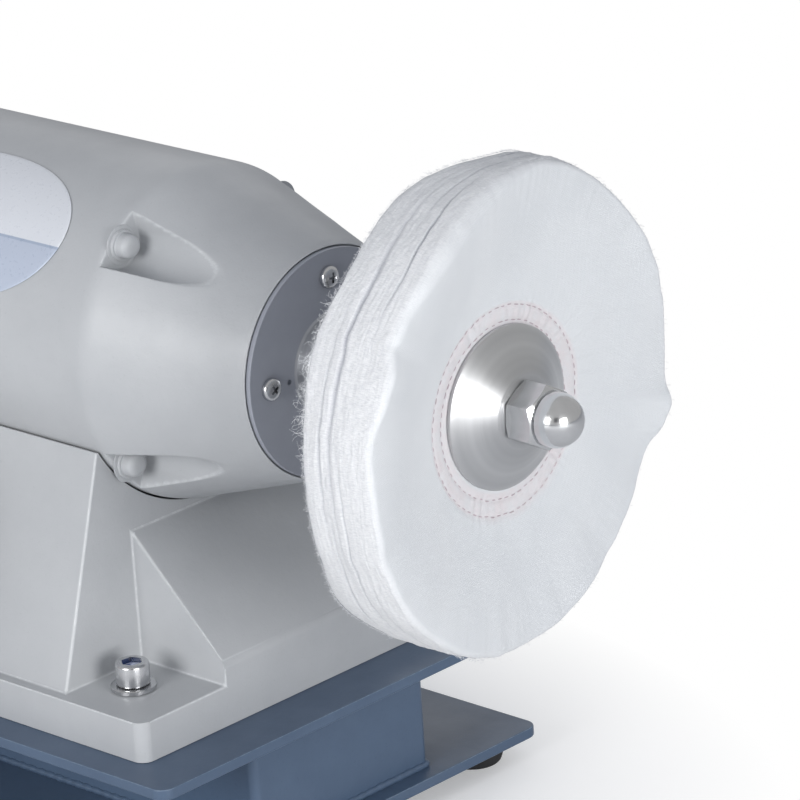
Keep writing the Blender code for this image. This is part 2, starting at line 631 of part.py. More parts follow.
def bell_mesh():
    """One end bell: a cone with bolt pockets, a hollow for the windings and a bearing seat."""
    seat_floor = bearing_start - SEAT_GAP
    seat_radius = BEARING_RADIUS + SEAT_GAP
    cavity_radius = pocket_axis_radius - POCKET_RADIUS - BELL_WALL
    cavity_end = seat_floor - BEARING_WALL
    outer_at_end = BARREL_RADIUS + (BELL_END_RADIUS - BARREL_RADIUS) * (
        (cavity_end - bell_start - BELL_BARREL_LENGTH) / (BELL_LENGTH - BELL_BARREL_LENGTH))
    cavity_end_radius = min(cavity_radius, outer_at_end - 2 * BELL_WALL)
    taper_start = (bell_start + cavity_end) / 2
    shaft_hole = (BEARING_RADIUS + BEARING_INNER_RADIUS) / 2
    profile = bell_outline() + [(bell_end, seat_radius), (seat_floor, seat_radius), (seat_floor, shaft_hole),
                                (cavity_end, shaft_hole), (cavity_end, cavity_end_radius),
                                (taper_start, cavity_radius), (bell_start, cavity_radius)]
    shell = turned(profile, LARGE_STEPS)
    pocket_floor = bell_start + BELL_FLANGE_LENGTH
    pocket_places = around(pocket_axis_radius, BELL_BOLT_TURN, BELL_BOLT_COUNT)
    pockets = rods_around(pocket_places, pocket_floor, bell_end, POCKET_RADIUS, SHAFT_STEPS)
    bolt_holes = rods_around(bell_bolt_places(), bell_start - OVERRUN, pocket_floor + OVERRUN,
                             BELL_BOLT_SHANK + SEAT_GAP, HOLE_STEPS)
    screw_places = around(COVER_SCREW_CIRCLE, 0.0, COVER_SCREW_COUNT)
    screw_holes = rods_around(screw_places, cover_face - COVER_SCREW_LENGTH - OVERRUN, bell_end + OVERRUN,
                              COVER_SCREW_SHANK + SEAT_GAP, HOLE_STEPS)
    return combine("end_bell", shell, cut=pockets + bolt_holes + screw_holes)


def bell_bolt_mesh():
    """A socket screw with its captive washer, under the bell's paint."""
    length = BELL_FLANGE_LENGTH + BELL_BOLT_GRIP
    ring = BELL_BOLT_RING_HEIGHT
    top = ring + BELL_BOLT_HEAD_HEIGHT
    profile = [(-length, 0.0), (-length, BELL_BOLT_SHANK), (0.0, BELL_BOLT_SHANK),
               (0.0, BELL_BOLT_RING_RADIUS), (ring, BELL_BOLT_RING_RADIUS), (ring, BELL_BOLT_HEAD_RADIUS),
               (top - BELL_BOLT_EDGE, BELL_BOLT_HEAD_RADIUS),
               (top, BELL_BOLT_HEAD_RADIUS - BELL_BOLT_EDGE), (top, 0.0)]
    return make_mesh("bell_bolt", turned(profile, HEAD_STEPS), True)


def cover_mesh():
    """A round bearing cover with a boss for the spindle's neck and a spigot that holds the bearing."""
    bore = NECK_RADIUS + RUNNING_GAP
    spigot_radius = BEARING_RADIUS - SEAT_GAP
    spigot_bore = max(BEARING_INNER_RADIUS + SEAT_GAP, spigot_radius - COVER_SPIGOT_WALL)
    boss_top = cover_face + COVER_BOSS_HEIGHT
    boss_edge = corner_arc((cover_face, COVER_BOSS_RADIUS), (boss_top, COVER_BOSS_RADIUS),
                           (boss_top, bore), COVER_BOSS_ROUND, ARC_STEPS)
    spigot_end = bell_end - COVER_SPIGOT_LENGTH
    profile = [(cover_start, spigot_bore), (spigot_end, spigot_bore), (spigot_end, spigot_radius),
               (cover_start, spigot_radius), (cover_start, COVER_RADIUS),
               (cover_face - COVER_EDGE, COVER_RADIUS), (cover_face, COVER_RADIUS - COVER_EDGE),
               (cover_face, COVER_BOSS_RADIUS)] + boss_edge + [(boss_top, bore), (cover_start, bore)]
    disc = turned(profile, MEDIUM_STEPS)
    holes = rods_around(around(COVER_SCREW_CIRCLE, 0.0, COVER_SCREW_COUNT), spigot_end, cover_face + OVERRUN,
                        COVER_SCREW_SHANK + SEAT_GAP, HOLE_STEPS)
    return combine("bearing_cover", disc, cut=holes)


def cover_screw_mesh():
    """A pan head screw with a cross recess."""
    height = COVER_SCREW_HEAD_HEIGHT
    crown_height = height - COVER_SCREW_RIM
    turns = [FULL_TURN / 4 * step / ARC_STEPS for step in range(ARC_STEPS)]
    crown = [(COVER_SCREW_RIM + crown_height * math.sin(turn), COVER_SCREW_HEAD_RADIUS * math.cos(turn))
             for turn in turns]
    length = COVER_SCREW_LENGTH
    profile = [(-length, 0.0), (-length, COVER_SCREW_SHANK), (0.0, COVER_SCREW_SHANK),
               (0.0, COVER_SCREW_HEAD_RADIUS)] + crown + [(height, 0.0)]
    low = height - CROSS_DEPTH
    high = height + OVERRUN
    long, short = CROSS_LENGTH / 2, CROSS_WIDTH / 2
    slots = [box((low, -long, -short), (high, long, short)), box((low, -short, -long), (high, short, long))]
    return combine("cover_screw", turned(profile, HEAD_STEPS), cut=slots)


def ring_mesh(name, low, high, inner, outer):
    """A bearing ring with its outer edges rounded off."""
    profile = [(low, inner), (low, outer - BEARING_EDGE), (low + BEARING_EDGE, outer),
               (high - BEARING_EDGE, outer), (high, outer - BEARING_EDGE), (high, inner)]
    return make_mesh(name, turned(profile, SHAFT_STEPS), True)


def add_end(side, motor, spindle, turn):
    """Everything that both ends have: bell, cover, bearing, flanges and nut."""
    add_piece(side + "_end_bell", bell_mesh(), GREY_CASTING, motor, turn=turn)
    add_piece(side + "_bearing_cover", cover_mesh(), SLATE_COVER, motor, turn=turn)
    across = Matrix.Rotation(turn[2], 3, "Z")

    bolt = bell_bolt_mesh()
    bolt_x = bell_start + BELL_FLANGE_LENGTH + SEAT_GAP
    for number, (y, z) in enumerate(bell_bolt_places(), 1):
        place = across @ Vector((bolt_x, y, z))
        add_piece("%s_bell_bolt_%d" % (side, number), bolt, GREY_CASTING, motor, place, turn)
    screw = cover_screw_mesh()
    for number, (y, z) in enumerate(around(COVER_SCREW_CIRCLE, 0.0, COVER_SCREW_COUNT), 1):
        place = across @ Vector((cover_face + SEAT_GAP, y, z))
        add_piece("%s_cover_screw_%d" % (side, number), screw, ZINC, motor, place, turn)

    bearing_end = bearing_start + BEARING_WIDTH
    shield_bore = BEARING_INNER_RADIUS + RUNNING_GAP
    outer_ring = ring_mesh("bearing_outer", bearing_start, bearing_end, shield_bore, BEARING_RADIUS)
    inner_ring = ring_mesh("bearing_inner", bearing_start, bearing_end,
                           BEARING_BORE_RADIUS, BEARING_INNER_RADIUS)
    add_piece(side + "_bearing_outer_ring", outer_ring, TURNED_STEEL, motor, turn=turn)
    add_piece(side + "_bearing_inner_ring", inner_ring, TURNED_STEEL, spindle, turn=turn)

    add_piece(side + "_inner_flange", flange_mesh(), TURNED_STEEL, spindle,
              across @ Vector((inner_flange_x + FLANGE_HEIGHT, 0, 0)), (0.0, 0.0, turn[2] + FULL_TURN / 2))
    add_piece(side + "_outer_flange", flange_mesh(), TURNED_STEEL, spindle,
              across @ Vector((outer_flange_x, 0, 0)), turn)
    add_piece(side + "_dome_nut", nut_mesh(), CHROME, spindle, across @ Vector((nut_x, 0, 0)), turn)


def add_windings(motor, spindle):
    """The stator inside the frame and the rotor on the spindle."""
    half = frame_end - STATOR_INSET
    stator_bore = ROTOR_RADIUS + RUNNING_GAP
    frame_bore = BARREL_RADIUS - FRAME_WALL
    stator_radius = frame_bore - SEAT_GAP
    stator = turned([(-half, stator_bore), (-half, stator_radius),
                     (half, stator_radius), (half, stator_bore)], LARGE_STEPS)
    add_piece("stator_core", make_mesh("stator_core", stator, True), LAMINATION, motor)
    rotor_bore = CORE_SHAFT_RADIUS + SEAT_GAP
    rotor = turned([(-half, rotor_bore), (-half, ROTOR_RADIUS), (half, ROTOR_RADIUS), (half, rotor_bore)],
                   MEDIUM_STEPS)
    add_piece("rotor_core", make_mesh("rotor_core", rotor, True), LAMINATION, spindle)
    inner = stator_bore + WINDING_SETBACK
    outer = frame_bore - WINDING_INSET
    start = half + SEAT_GAP
    end = frame_end - WINDING_INSET
    profile = [(start, inner), (start, outer), (end - WINDING_ROUND, outer), (end, outer - WINDING_ROUND),
               (end, inner + WINDING_ROUND), (end - WINDING_ROUND, inner)]
    coil = make_mesh("winding", turned(profile, MEDIUM_STEPS), True)
    add_piece("right_winding", coil, COPPER, motor)
    add_piece("left_winding", coil, COPPER, motor, turn=(0.0, 0.0, FULL_TURN / 2))


# Spindle, flanges, wheels and nuts

def add_shaft(spindle):
    """The stepped shaft, threaded at both ends for the domed nuts."""
    core_end = frame_end - STATOR_INSET + CORE_SHAFT_MARGIN
    journal = BEARING_BORE_RADIUS - SEAT_GAP
    arbor_end = nut_x + ARBOR_IN_NUT
    half = [(core_end, CORE_SHAFT_RADIUS), (core_end, SHOULDER_RADIUS),
            (bearing_start - SEAT_GAP, SHOULDER_RADIUS),
            (bearing_start - SEAT_GAP, journal), (bell_end, journal), (bell_end, NECK_RADIUS),
            (neck_end - SHAFT_CHAMFER, NECK_RADIUS), (neck_end, NECK_RADIUS - SHAFT_CHAMFER),
            (neck_end, ARBOR_RADIUS), (arbor_end - SHAFT_CHAMFER, ARBOR_RADIUS),
            (arbor_end, ARBOR_RADIUS - SHAFT_CHAMFER), (arbor_end, 0.0)]
    profile = [(-x, radius) for x, radius in reversed(half)] + half
    shaft = make_mesh("spindle_shaft", turned(profile, SHAFT_STEPS), True)
    add_piece("spindle_shaft", shaft, TURNED_STEEL, spindle)


def flange_mesh():
    """A coned flange: its rim grips the cloth at x = 0 and its boss points along +X."""
    profile = [(0.0, arbor_bore), (0.0, FLANGE_RADIUS), (FLANGE_RIM - FLANGE_EDGE, FLANGE_RADIUS),
               (FLANGE_RIM, FLANGE_RADIUS - FLANGE_EDGE), (FLANGE_HEIGHT, FLANGE_BOSS_RADIUS),
               (FLANGE_HEIGHT, arbor_bore)]
    return make_mesh("wheel_flange", turned(profile, MEDIUM_STEPS), True)


def nut_mesh():
    """A domed nut whose base is at x = 0."""
    corner = NUT_FLATS / 2 / math.cos(FULL_TURN / 12)
    hexagonal = hexagon(NUT_FLATS, 0.0, NUT_HEX_HEIGHT)
    outside = corner + OVERRUN
    beyond = NUT_HEX_HEIGHT + OVERRUN
    start = NUT_HEX_HEIGHT - NUT_CHAMFER
    chamfer = turned([(start, outside), (start, corner), (NUT_HEX_HEIGHT, NUT_FLATS / 2),
                      (beyond, NUT_FLATS / 2), (beyond, outside)], SHAFT_STEPS)
    dome_centre = NUT_HEIGHT - NUT_DOME_RADIUS
    dome = arc((dome_centre, 0.0), NUT_DOME_RADIUS, FULL_TURN / 4, 0.0, DOME_STEPS)[:-1]
    buried = NUT_HEX_HEIGHT / 2
    cap = turned([(buried, 0.0), (buried, NUT_DOME_RADIUS)] + dome + [(NUT_HEIGHT, 0.0)], SHAFT_STEPS)
    bore = rod(-OVERRUN, ARBOR_IN_NUT + RUNNING_GAP, arbor_bore, SHAFT_STEPS)
    return combine("dome_nut", hexagonal, added=[cap], cut=[chamfer, bore])


def rim_lean(shares, angle):
    """Smooth value of a table of rim shares at an angle."""
    count = len(shares)
    place = angle / FULL_TURN * count % count
    first = int(place)
    along = place - first
    before, here, there, beyond = (shares[(first + step) % count] for step in (-1, 0, 1, 2))
    slope_here = (there - before) / 2
    slope_there = (beyond - here) / 2
    squared, cubed = along ** 2, along ** 3
    return ((2 * cubed - 3 * squared + 1) * here + (cubed - 2 * squared + along) * slope_here
            + (3 * squared - 2 * cubed) * there + (cubed - squared) * slope_there)


def wheel_profile(angle):
    """The cloth wheel's section at an angle, round from its bore at the back to its bore in front."""
    grip = FLANGE_RADIUS + WHEEL_GRIP_MARGIN
    face_edge = WHEEL_RADIUS - WHEEL_EDGE / 2
    front_lean = rim_lean(RIM_FRONT_SHARES, angle) * WHEEL_HUB_WIDTH
    back_lean = rim_lean(RIM_BACK_SHARES, angle) * WHEEL_HUB_WIDTH
    front, back = [(wheel_front, arbor_bore)], [(wheel_back, arbor_bore)]
    for share in FACE_RING_SHARES + (1.0,):
        eased = share * share * (3 - 2 * share) * FACE_EASE_SHARE + share * (1 - FACE_EASE_SHARE)
        radius = grip + (face_edge - grip) * share
        front.append((wheel_front + front_lean * eased, radius))
        back.append((wheel_back + back_lean * eased, radius))
    rim_front = wheel_front + front_lean - WHEEL_EDGE
    rim_back = wheel_back + back_lean + WHEEL_EDGE
    rim = [(rim_back, WHEEL_RADIUS), ((rim_front + rim_back) / 2, WHEEL_RADIUS), (rim_front, WHEEL_RADIUS)]
    return back + rim + front[::-1]


def wheel_mesh(name, turn):
    """A sewn cloth wheel, flat between its flanges and waved at its rim."""
    bm = bmesh.new()
    rows = []
    for step in range(WHEEL_STEPS):
        angle = FULL_TURN * step / WHEEL_STEPS
        section = wheel_profile(angle + turn)
        rows.append([bm.verts.new((x, -radius * math.cos(angle), radius * math.sin(angle)))
                     for x, radius in section])
    for here, there in zip(rows, rows[1:] + rows[:1]):
        for a, b in zip(range(len(here)), list(range(1, len(here))) + [0]):
            bm.faces.new((here[a], here[b], there[b], there[a]))
    bmesh.ops.recalc_face_normals(bm, faces=bm.faces[:])
    return make_mesh(name, bm, True)


# Label plate, switch and gland

def add_label(motor):
    """A thin blank oval plate that lies on the barrel's upper front."""
    inner = BARREL_RADIUS + SEAT_GAP
    outer = inner + LABEL_THICKNESS
    half = LABEL_LENGTH / 2 + OVERRUN
    sleeve = turned([(-half, inner), (-half, outer), (half, outer), (half, inner)], LARGE_STEPS)
    half_height = BARREL_RADIUS * math.sin(LABEL_HEIGHT / 2 / BARREL_RADIUS)
    turns = [FULL_TURN * step / MEDIUM_STEPS for step in range(MEDIUM_STEPS)]
    oval = [(LABEL_LENGTH / 2 * math.cos(turn), half_height * math.sin(turn)) for turn in turns]
    window = prism(oval, 0.0, outer + OVERRUN, "Z")
    tilt = Matrix.Rotation(FULL_TURN / 4 - LABEL_ANGLE, 4, "X")
    bmesh.ops.transform(window, matrix=tilt, verts=window.verts[:])
    add_piece("label_plate", combine("label_plate", sleeve, shared=[window]), LABEL_WHITE, motor)


def add_switch():
    """A push-button box on the pedestal's front; its frame has +X out of the front and +Z up the slope."""
    centre_z = place_on_block(SWITCH_DOWN_SHARE)
    panel = add_empty("switch_panel", (0.0, -block_half_depth(centre_z), shaft_z + centre_z))
    outward = Matrix.Rotation(-FULL_TURN / 4, 4, "Z")
    panel.matrix_world = Matrix.Translation(panel.location) @ (
        Matrix.Rotation(-front_slope(), 4, "X") @ outward)
    half_width, half_height = switch_width / 2, switch_height / 2
    back = SEAT_GAP
    front = back + SWITCH_DEPTH
    outside = box((back, -half_width, -half_height), (front, half_width, half_height))
    round_edges(outside, lambda a, b: abs(a.x - b.x) > WELD, SWITCH_CORNER, ARC_STEPS)
    round_edges(outside, lambda a, b: min(a.x, b.x) > front - WELD, BUTTON_EDGE)
    inside = box((back - OVERRUN, SWITCH_WALL - half_width, SWITCH_WALL - half_height),
                 (front - SWITCH_WALL, half_width - SWITCH_WALL, half_height - SWITCH_WALL))
    heights = {"start_button": button_spacing / 2, "stop_button": -button_spacing / 2}
    holes = rods_around([(0.0, height) for height in heights.values()], front - SWITCH_WALL - OVERRUN,
                        front + OVERRUN, BUTTON_RADIUS + RUNNING_GAP, SHAFT_STEPS)
    housing = combine("switch_housing", outside, cut=[inside] + holes)
    add_piece("switch_housing", housing, BLACK_PLASTIC, panel)

    flange_front = -SWITCH_WALL - SEAT_GAP
    flange_back = flange_front - BUTTON_FLANGE_THICKNESS
    tops = {"start_button": BUTTON_PROUD, "stop_button": BUTTON_PROUD + BUTTON_STOP_EXTRA}
    finishes = {"start_button": GREEN_PLASTIC, "stop_button": RED_PLASTIC}
    for name, top in tops.items():
        profile = [(flange_back, 0.0), (flange_back, button_rim), (flange_front, button_rim),
                   (flange_front, BUTTON_RADIUS), (top - BUTTON_EDGE, BUTTON_RADIUS),
                   (top, BUTTON_RADIUS - BUTTON_EDGE), (top, 0.0)]
        button = make_mesh(name, turned(profile, SHAFT_STEPS), True)
        add_piece(name, button, finishes[name], panel, place=(front, 0.0, heights[name]))


def add_gland():
    """A cable gland on the pedestal's sloping back."""
    centre_z = place_on_block(GLAND_DOWN_SHARE)
    back_panel = add_empty("gland_panel", (GLAND_X, block_half_depth(centre_z), shaft_z + centre_z))
    back_panel.matrix_world = Matrix.Translation(back_panel.location) @ (
        Matrix.Rotation(front_slope(), 4, "X") @ Matrix.Rotation(FULL_TURN / 4, 4, "Z"))
    start = SEAT_GAP
    end = start + GLAND_LENGTH
    collar_end = start + GLAND_COLLAR
    bore_start = end - GLAND_BORE_DEPTH
    profile = [(start, 0.0), (start, GLAND_RADIUS),
               (collar_end, GLAND_RADIUS), (collar_end, GLAND_NECK_RADIUS),
               (end - GLAND_EDGE, GLAND_NECK_RADIUS), (end, GLAND_NECK_RADIUS - GLAND_EDGE),
               (end, GLAND_BORE_RADIUS), (bore_start, GLAND_BORE_RADIUS), (bore_start, 0.0)]
    gland = make_mesh("cable_gland", turned(profile, HEAD_STEPS), True)
    add_piece("cable_gland", gland, BLACK_PLASTIC, back_panel)


def main():
    for item in list(bpy.data.objects):
        bpy.data.objects.remove(item, do_unlink=True)
    add_stand()
    add_pedestal()
    add_hold_screws()
    motor = add_empty("motor_axis", (0.0, 0.0, shaft_z))
    spindle = add_empty("spindle_axis", (0.0, 0.0, shaft_z))
    add_motor_frame(motor)
    add_windings(motor, spindle)
    add_shaft(spindle)
    add_label(motor)
    half_turn = (0.0, 0.0, FULL_TURN / 2)
    add_end("right", motor, spindle, (0.0, 0.0, 0.0))
    add_end("left", motor, spindle, half_turn)
    right_wheel = wheel_mesh("right_wheel", 0.0)
    add_piece("right_polishing_wheel", right_wheel, WHITE_COTTON, spindle)
    left_wheel = wheel_mesh("left_wheel", LEFT_WHEEL_TURN)
    add_piece("left_polishing_wheel", left_wheel, WHITE_COTTON, spindle, turn=half_turn)
    add_switch()
    add_gland()


main()
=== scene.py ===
"""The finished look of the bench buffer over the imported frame: castings, turned metal and two cloth wheels.

Shapes are made in millimetres, measured from the spindle's middle, with the spindle along X. Each piece is
brought to metres when it is finished. The machine's left end is its right end turned half round about Z.
"""
import functools
import math
import random

import bmesh
import bpy
from mathutils import Matrix, Vector, noise


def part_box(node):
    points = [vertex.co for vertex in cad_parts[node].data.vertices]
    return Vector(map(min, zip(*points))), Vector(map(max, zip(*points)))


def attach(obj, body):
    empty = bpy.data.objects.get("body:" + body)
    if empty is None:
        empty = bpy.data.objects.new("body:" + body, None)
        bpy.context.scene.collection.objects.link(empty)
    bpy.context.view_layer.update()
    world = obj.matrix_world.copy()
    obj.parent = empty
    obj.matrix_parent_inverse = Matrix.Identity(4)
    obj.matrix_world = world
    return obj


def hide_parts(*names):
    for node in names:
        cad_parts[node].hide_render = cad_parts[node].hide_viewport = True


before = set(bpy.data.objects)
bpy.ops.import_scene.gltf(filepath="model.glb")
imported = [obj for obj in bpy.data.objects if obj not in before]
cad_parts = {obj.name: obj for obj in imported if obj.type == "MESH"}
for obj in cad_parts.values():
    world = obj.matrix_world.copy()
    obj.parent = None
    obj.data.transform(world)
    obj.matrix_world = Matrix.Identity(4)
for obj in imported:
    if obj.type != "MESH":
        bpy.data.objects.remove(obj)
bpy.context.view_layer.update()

FINE = "fine_"
MM = 0.001
WELD = 0.0005
FULL_TURN = math.tau
SHAFT_Z = 268.2
AT_SHAFT = Matrix.Translation((0.0, 0.0, SHAFT_Z))
ON_FLOOR = Matrix.Identity(4)
HALF_ROUND = Matrix.Rotation(math.pi, 4, "Z")
SIDES = {"right": Matrix.Identity(4), "left": HALF_ROUND}
UPRIGHT = Matrix.Rotation(-math.pi / 2, 4, "Y")     # turns a shape spun about X to stand along Z

# Light: how strongly the white room lights matt and shiny surfaces
AMBIENT_LEVEL = 0.42
SHINE_LEVEL = 0.5

# Sizes of the real machine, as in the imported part
BARREL_RADIUS = 89.3
BARREL_END = 96.0
CONE_START = 110.3
BELL_END = 198.0
BELL_END_RADIUS = 61.6
BOLT_CIRCLE = 82.0
BOLT_TURN = math.radians(49.0)
POCKET_AXIS = 84.5
POCKET_RADIUS = 14.2
POCKET_FLOOR = 109.3
COVER_BACK = 198.3
COVER_FACE = 201.3
COVER_RADIUS = 60.8
SCREW_CIRCLE = 46.3
FLANGE_RADIUS = 42.0
FLANGE_BOSS_RADIUS = 19.8
FLANGE_RIM = 2.6
FLANGE_HEIGHT = 13.9
INNER_FLANGE = 267.5
WHEEL_BACK = 281.7
WHEEL_FRONT = 317.7
OUTER_FLANGE = 318.0
NUT_START = 332.2
WHEEL_RADIUS = 125.0
LEFT_WHEEL_TURN = math.radians(140.0)
WHEEL_BORE = 10.3
UNDERSIDE = -187.0
SOLE_TOP = -165.0
SOLE_HALF = (168.0, 122.0)
BLOCK_HALF = 106.0
BLOCK_FOOT_DEPTH = 115.5
LIP = (80.06, -44.0)
WING_DEPTH = 60.7
WING_RIDGE_Z = -92.8
WING_HEEL_Z = -153.0
HOLD_SCREWS = ((130.0, -90.0), (-130.0, -90.0), (130.0, 90.0), (-130.0, 90.0))
HOLD_HOLE_RADIUS = 6.6
CUT_PAST = 5.0              # how far a cutting tool reaches past what it cuts
COLUMN_CORNER = 5.0
COLUMN_WALL = 3.0
PLATE_CORNER = 8.0
BEAD_RADIUS = 2.2
BEAD_STEP = 1.6
LABEL_HALF = (78.0, 43.0)
LABEL_THICKNESS = 0.6
LABEL_MIDDLE = math.radians(44.0)
LABEL_RADIUS = 0.0902        # of the label's face round the spindle, in metres
FIELD_LINE = 0.0634          # the line between the label's fields, in metres along the barrel's curve
COVER_BOSS = 0.0283          # radius in metres where the cover's paint ends
START_HEIGHT, STOP_HEIGHT = 16.0, -16.0     # of the two buttons on the switch box

# Edges sharper than this stay crisp when a piece is shaded
SHARP_EDGE = math.radians(32)
SOFT_CAST_EDGE = math.radians(50)
NUT_EDGE = math.radians(25)
CLOTH_EDGE = math.radians(120)


# Shapes

def move(bm, matrix):
    bmesh.ops.transform(bm, matrix=matrix, verts=bm.verts[:])


def close_up(bm, near=WELD):
    """Joins points that lie together, and turns the faces outwards."""
    bmesh.ops.remove_doubles(bm, verts=bm.verts[:], dist=near)
    bmesh.ops.recalc_face_normals(bm, faces=bm.faces[:])


def line_of(bm, points, closed=False):
    """Points joined in a line, in the plane of the spindle and the vertical."""
    verts = [bm.verts.new((x, 0.0, radius)) for x, radius in points]
    edges = [bm.edges.new(pair) for pair in zip(verts, verts[1:])]
    if closed:
        edges.append(bm.edges.new((verts[-1], verts[0])))
    return verts + edges


def spin_round(bm, geometry, steps):
    """Spins a line a full turn about X, and closes seams and poles."""
    bmesh.ops.spin(bm, geom=geometry, cent=(0, 0, 0), axis=(1, 0, 0), angle=FULL_TURN, steps=steps,
                   use_merge=True)
    close_up(bm)


def turned(points, steps=96):
    """A solid turned about X; a closed outline whose ends are off the axis makes a ring."""
    bm = bmesh.new()
    hollow = points[0][1] > WELD
    spin_round(bm, line_of(bm, points, closed=hollow), steps)
    return bm


def plain_rod(low, high, radius):
    """The outline of a plain round rod along X."""
    return [(low, 0.0), (low, radius), (high, radius), (high, 0.0)]


def prism(outline, low, high, axis):
    """An outline pushed from low to high along an axis."""
    places = {"X": lambda a, b: (low, a, b), "Y": lambda a, b: (a, low, b), "Z": lambda a, b: (a, b, low)}
    bm = bmesh.new()
    face = bm.faces.new([bm.verts.new(places[axis](a, b)) for a, b in outline])
    push = Vector([high - low if name == axis else 0.0 for name in "XYZ"])
    moved = bmesh.ops.extrude_face_region(bm, geom=[face])["geom"]
    bmesh.ops.translate(bm, vec=push, verts=[item for item in moved if isinstance(item, bmesh.types.BMVert)])
    bmesh.ops.recalc_face_normals(bm, faces=bm.faces[:])
    return bm


def bevel(bm, chosen, offset, segments=3):
    """Rounds the chosen edges."""
    edges = [edge for edge in bm.edges if chosen(edge)]
    return bmesh.ops.bevel(bm, geom=edges, offset=offset, offset_type="OFFSET", affect="EDGES",
                           segments=segments, profile=0.5, material=-1)


def middle(edge):
    return (edge.verts[0].co + edge.verts[1].co) / 2


def is_upright(edge):
    a, b = edge.verts
    return abs(a.co.x - b.co.x) < WELD and abs(a.co.y - b.co.y) < WELD


def is_level(edge):
    return abs(edge.verts[0].co.z - edge.verts[1].co.z) < WELD


def rounded_box(low, high, corner, edge, steps=6):
    """A box with round upright corners and softened upper and lower edges."""
    bm = bmesh.new()
    bmesh.ops.create_cube(bm, size=1.0)
    size = Vector(high) - Vector(low)
    move(bm, Matrix.Translation((Vector(high) + Vector(low)) / 2) @ Matrix.Diagonal((*size, 1.0)))
    bevel(bm, is_upright, corner, steps)
    if edge:
        bevel(bm, lambda e: is_level(e) and e.calc_face_angle(0.0) > 1.0, edge, 2)
    return bm


def in_scene(name, data):
    """A new object of the scene with its data; a bmesh is made into a mesh first, and freed."""
    if isinstance(data, bmesh.types.BMesh):
        mesh = bpy.data.meshes.new(name)
        data.to_mesh(mesh)
        data.free()
        data = mesh
    item = bpy.data.objects.new(name, data)
    bpy.context.scene.collection.objects.link(item)
    return item


def combine(base, joined=(), cut=(), shared=()):
    """Joins, cuts or crosses shapes with booleans."""
    item = in_scene("work", base)
    tools = []
    for operation, group in (("UNION", joined), ("DIFFERENCE", cut), ("INTERSECT", shared)):
        for bm in group:
            tool = in_scene("tool", bm)
            tools.append(tool)
            step = item.modifiers.new("step", "BOOLEAN")
            step.operation, step.solver, step.object = operation, "EXACT", tool
    bpy.context.view_layer.update()
    result = bmesh.new()
    result.from_mesh(item.evaluated_get(bpy.context.evaluated_depsgraph_get()).to_mesh())
    for leftover in tools + [item]:
        bpy.data.objects.remove(leftover, do_unlink=True)
    bmesh.ops.remove_doubles(result, verts=result.verts[:], dist=WELD)
    return result


def grid_round(columns, steps, marks, place):
    """A closed skin round X whose points place(column, angle) puts at x, radius and angle, with its marks.

    The angle is counted from the front upwards, and the marks are named numbers for the materials.
    """
    bm = bmesh.new()
    bmesh.ops.create_grid(bm, x_segments=columns, y_segments=steps, size=0.5)
    layers = [bm.verts.layers.float.new(name) for name in marks]
    for vert in bm.verts:
        column = round((vert.co.x + 0.5) * columns) % columns
        step = round((vert.co.y + 0.5) * steps) % steps
        x, radius, angle, *values = place(column, FULL_TURN * step / steps)
        vert.co = (x, -radius * math.cos(angle), radius * math.sin(angle))
        for layer, value in zip(layers, values):
            vert[layer] = value
    close_up(bm)
    return bm


def finish_piece(name, bm, material, place=AT_SHAFT, body="frame", sharp=SHARP_EDGE, even=False):
    """Makes a shape in millimetres into a finished piece that rides on a body.

    A piece named fine_ and a CAD node's name stands for that node. Most slots are named as their material,
    whose own name has a number added when the frame brings a material of that name.
    """
    move(bm, Matrix.Scale(MM, 4) @ place)
    for face in bm.faces:
        face.smooth = True
    for edge in bm.edges:
        edge.smooth = edge.calc_face_angle(0.0) < sharp
    item = in_scene(name, bm)
    item.data.materials.append(material)
    if even:
        item.modifiers.new("even shading", "WEIGHTED_NORMAL").keep_sharp = True
    return settle(item, body)


def settle(item, body):
    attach(item, body)
    if item.name.startswith(FINE):
        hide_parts(item.name.removeprefix(FINE))
    return item


def threads(name, lines, thickness, material, place, body, closed=False):
    """Round threads, one spline for each line of points; closed beads have a swelling as fourth number."""
    curve = bpy.data.curves.new(name, "CURVE")
    curve.dimensions = "3D"
    curve.bevel_depth = thickness * MM
    curve.bevel_resolution = 1 if closed else 0
    curve.use_fill_caps = not closed
    matrix = Matrix.Scale(MM, 4) @ place
    for points in lines:
        spline = curve.splines.new("POLY")
        spline.points.add(len(points) - 1)
        spline.use_cyclic_u = closed
        for target, point in zip(spline.points, points):
            target.co = (matrix @ Vector(point[:3])).to_4d()
            if closed:
                target.radius = point[3]
    curve.materials.append(material)
    return settle(in_scene(name, curve), body)


def ripple(a, b, c=0.0):
    """Smooth noise between about -1 and 1."""
    return noise.noise((a, b, c))


# Materials

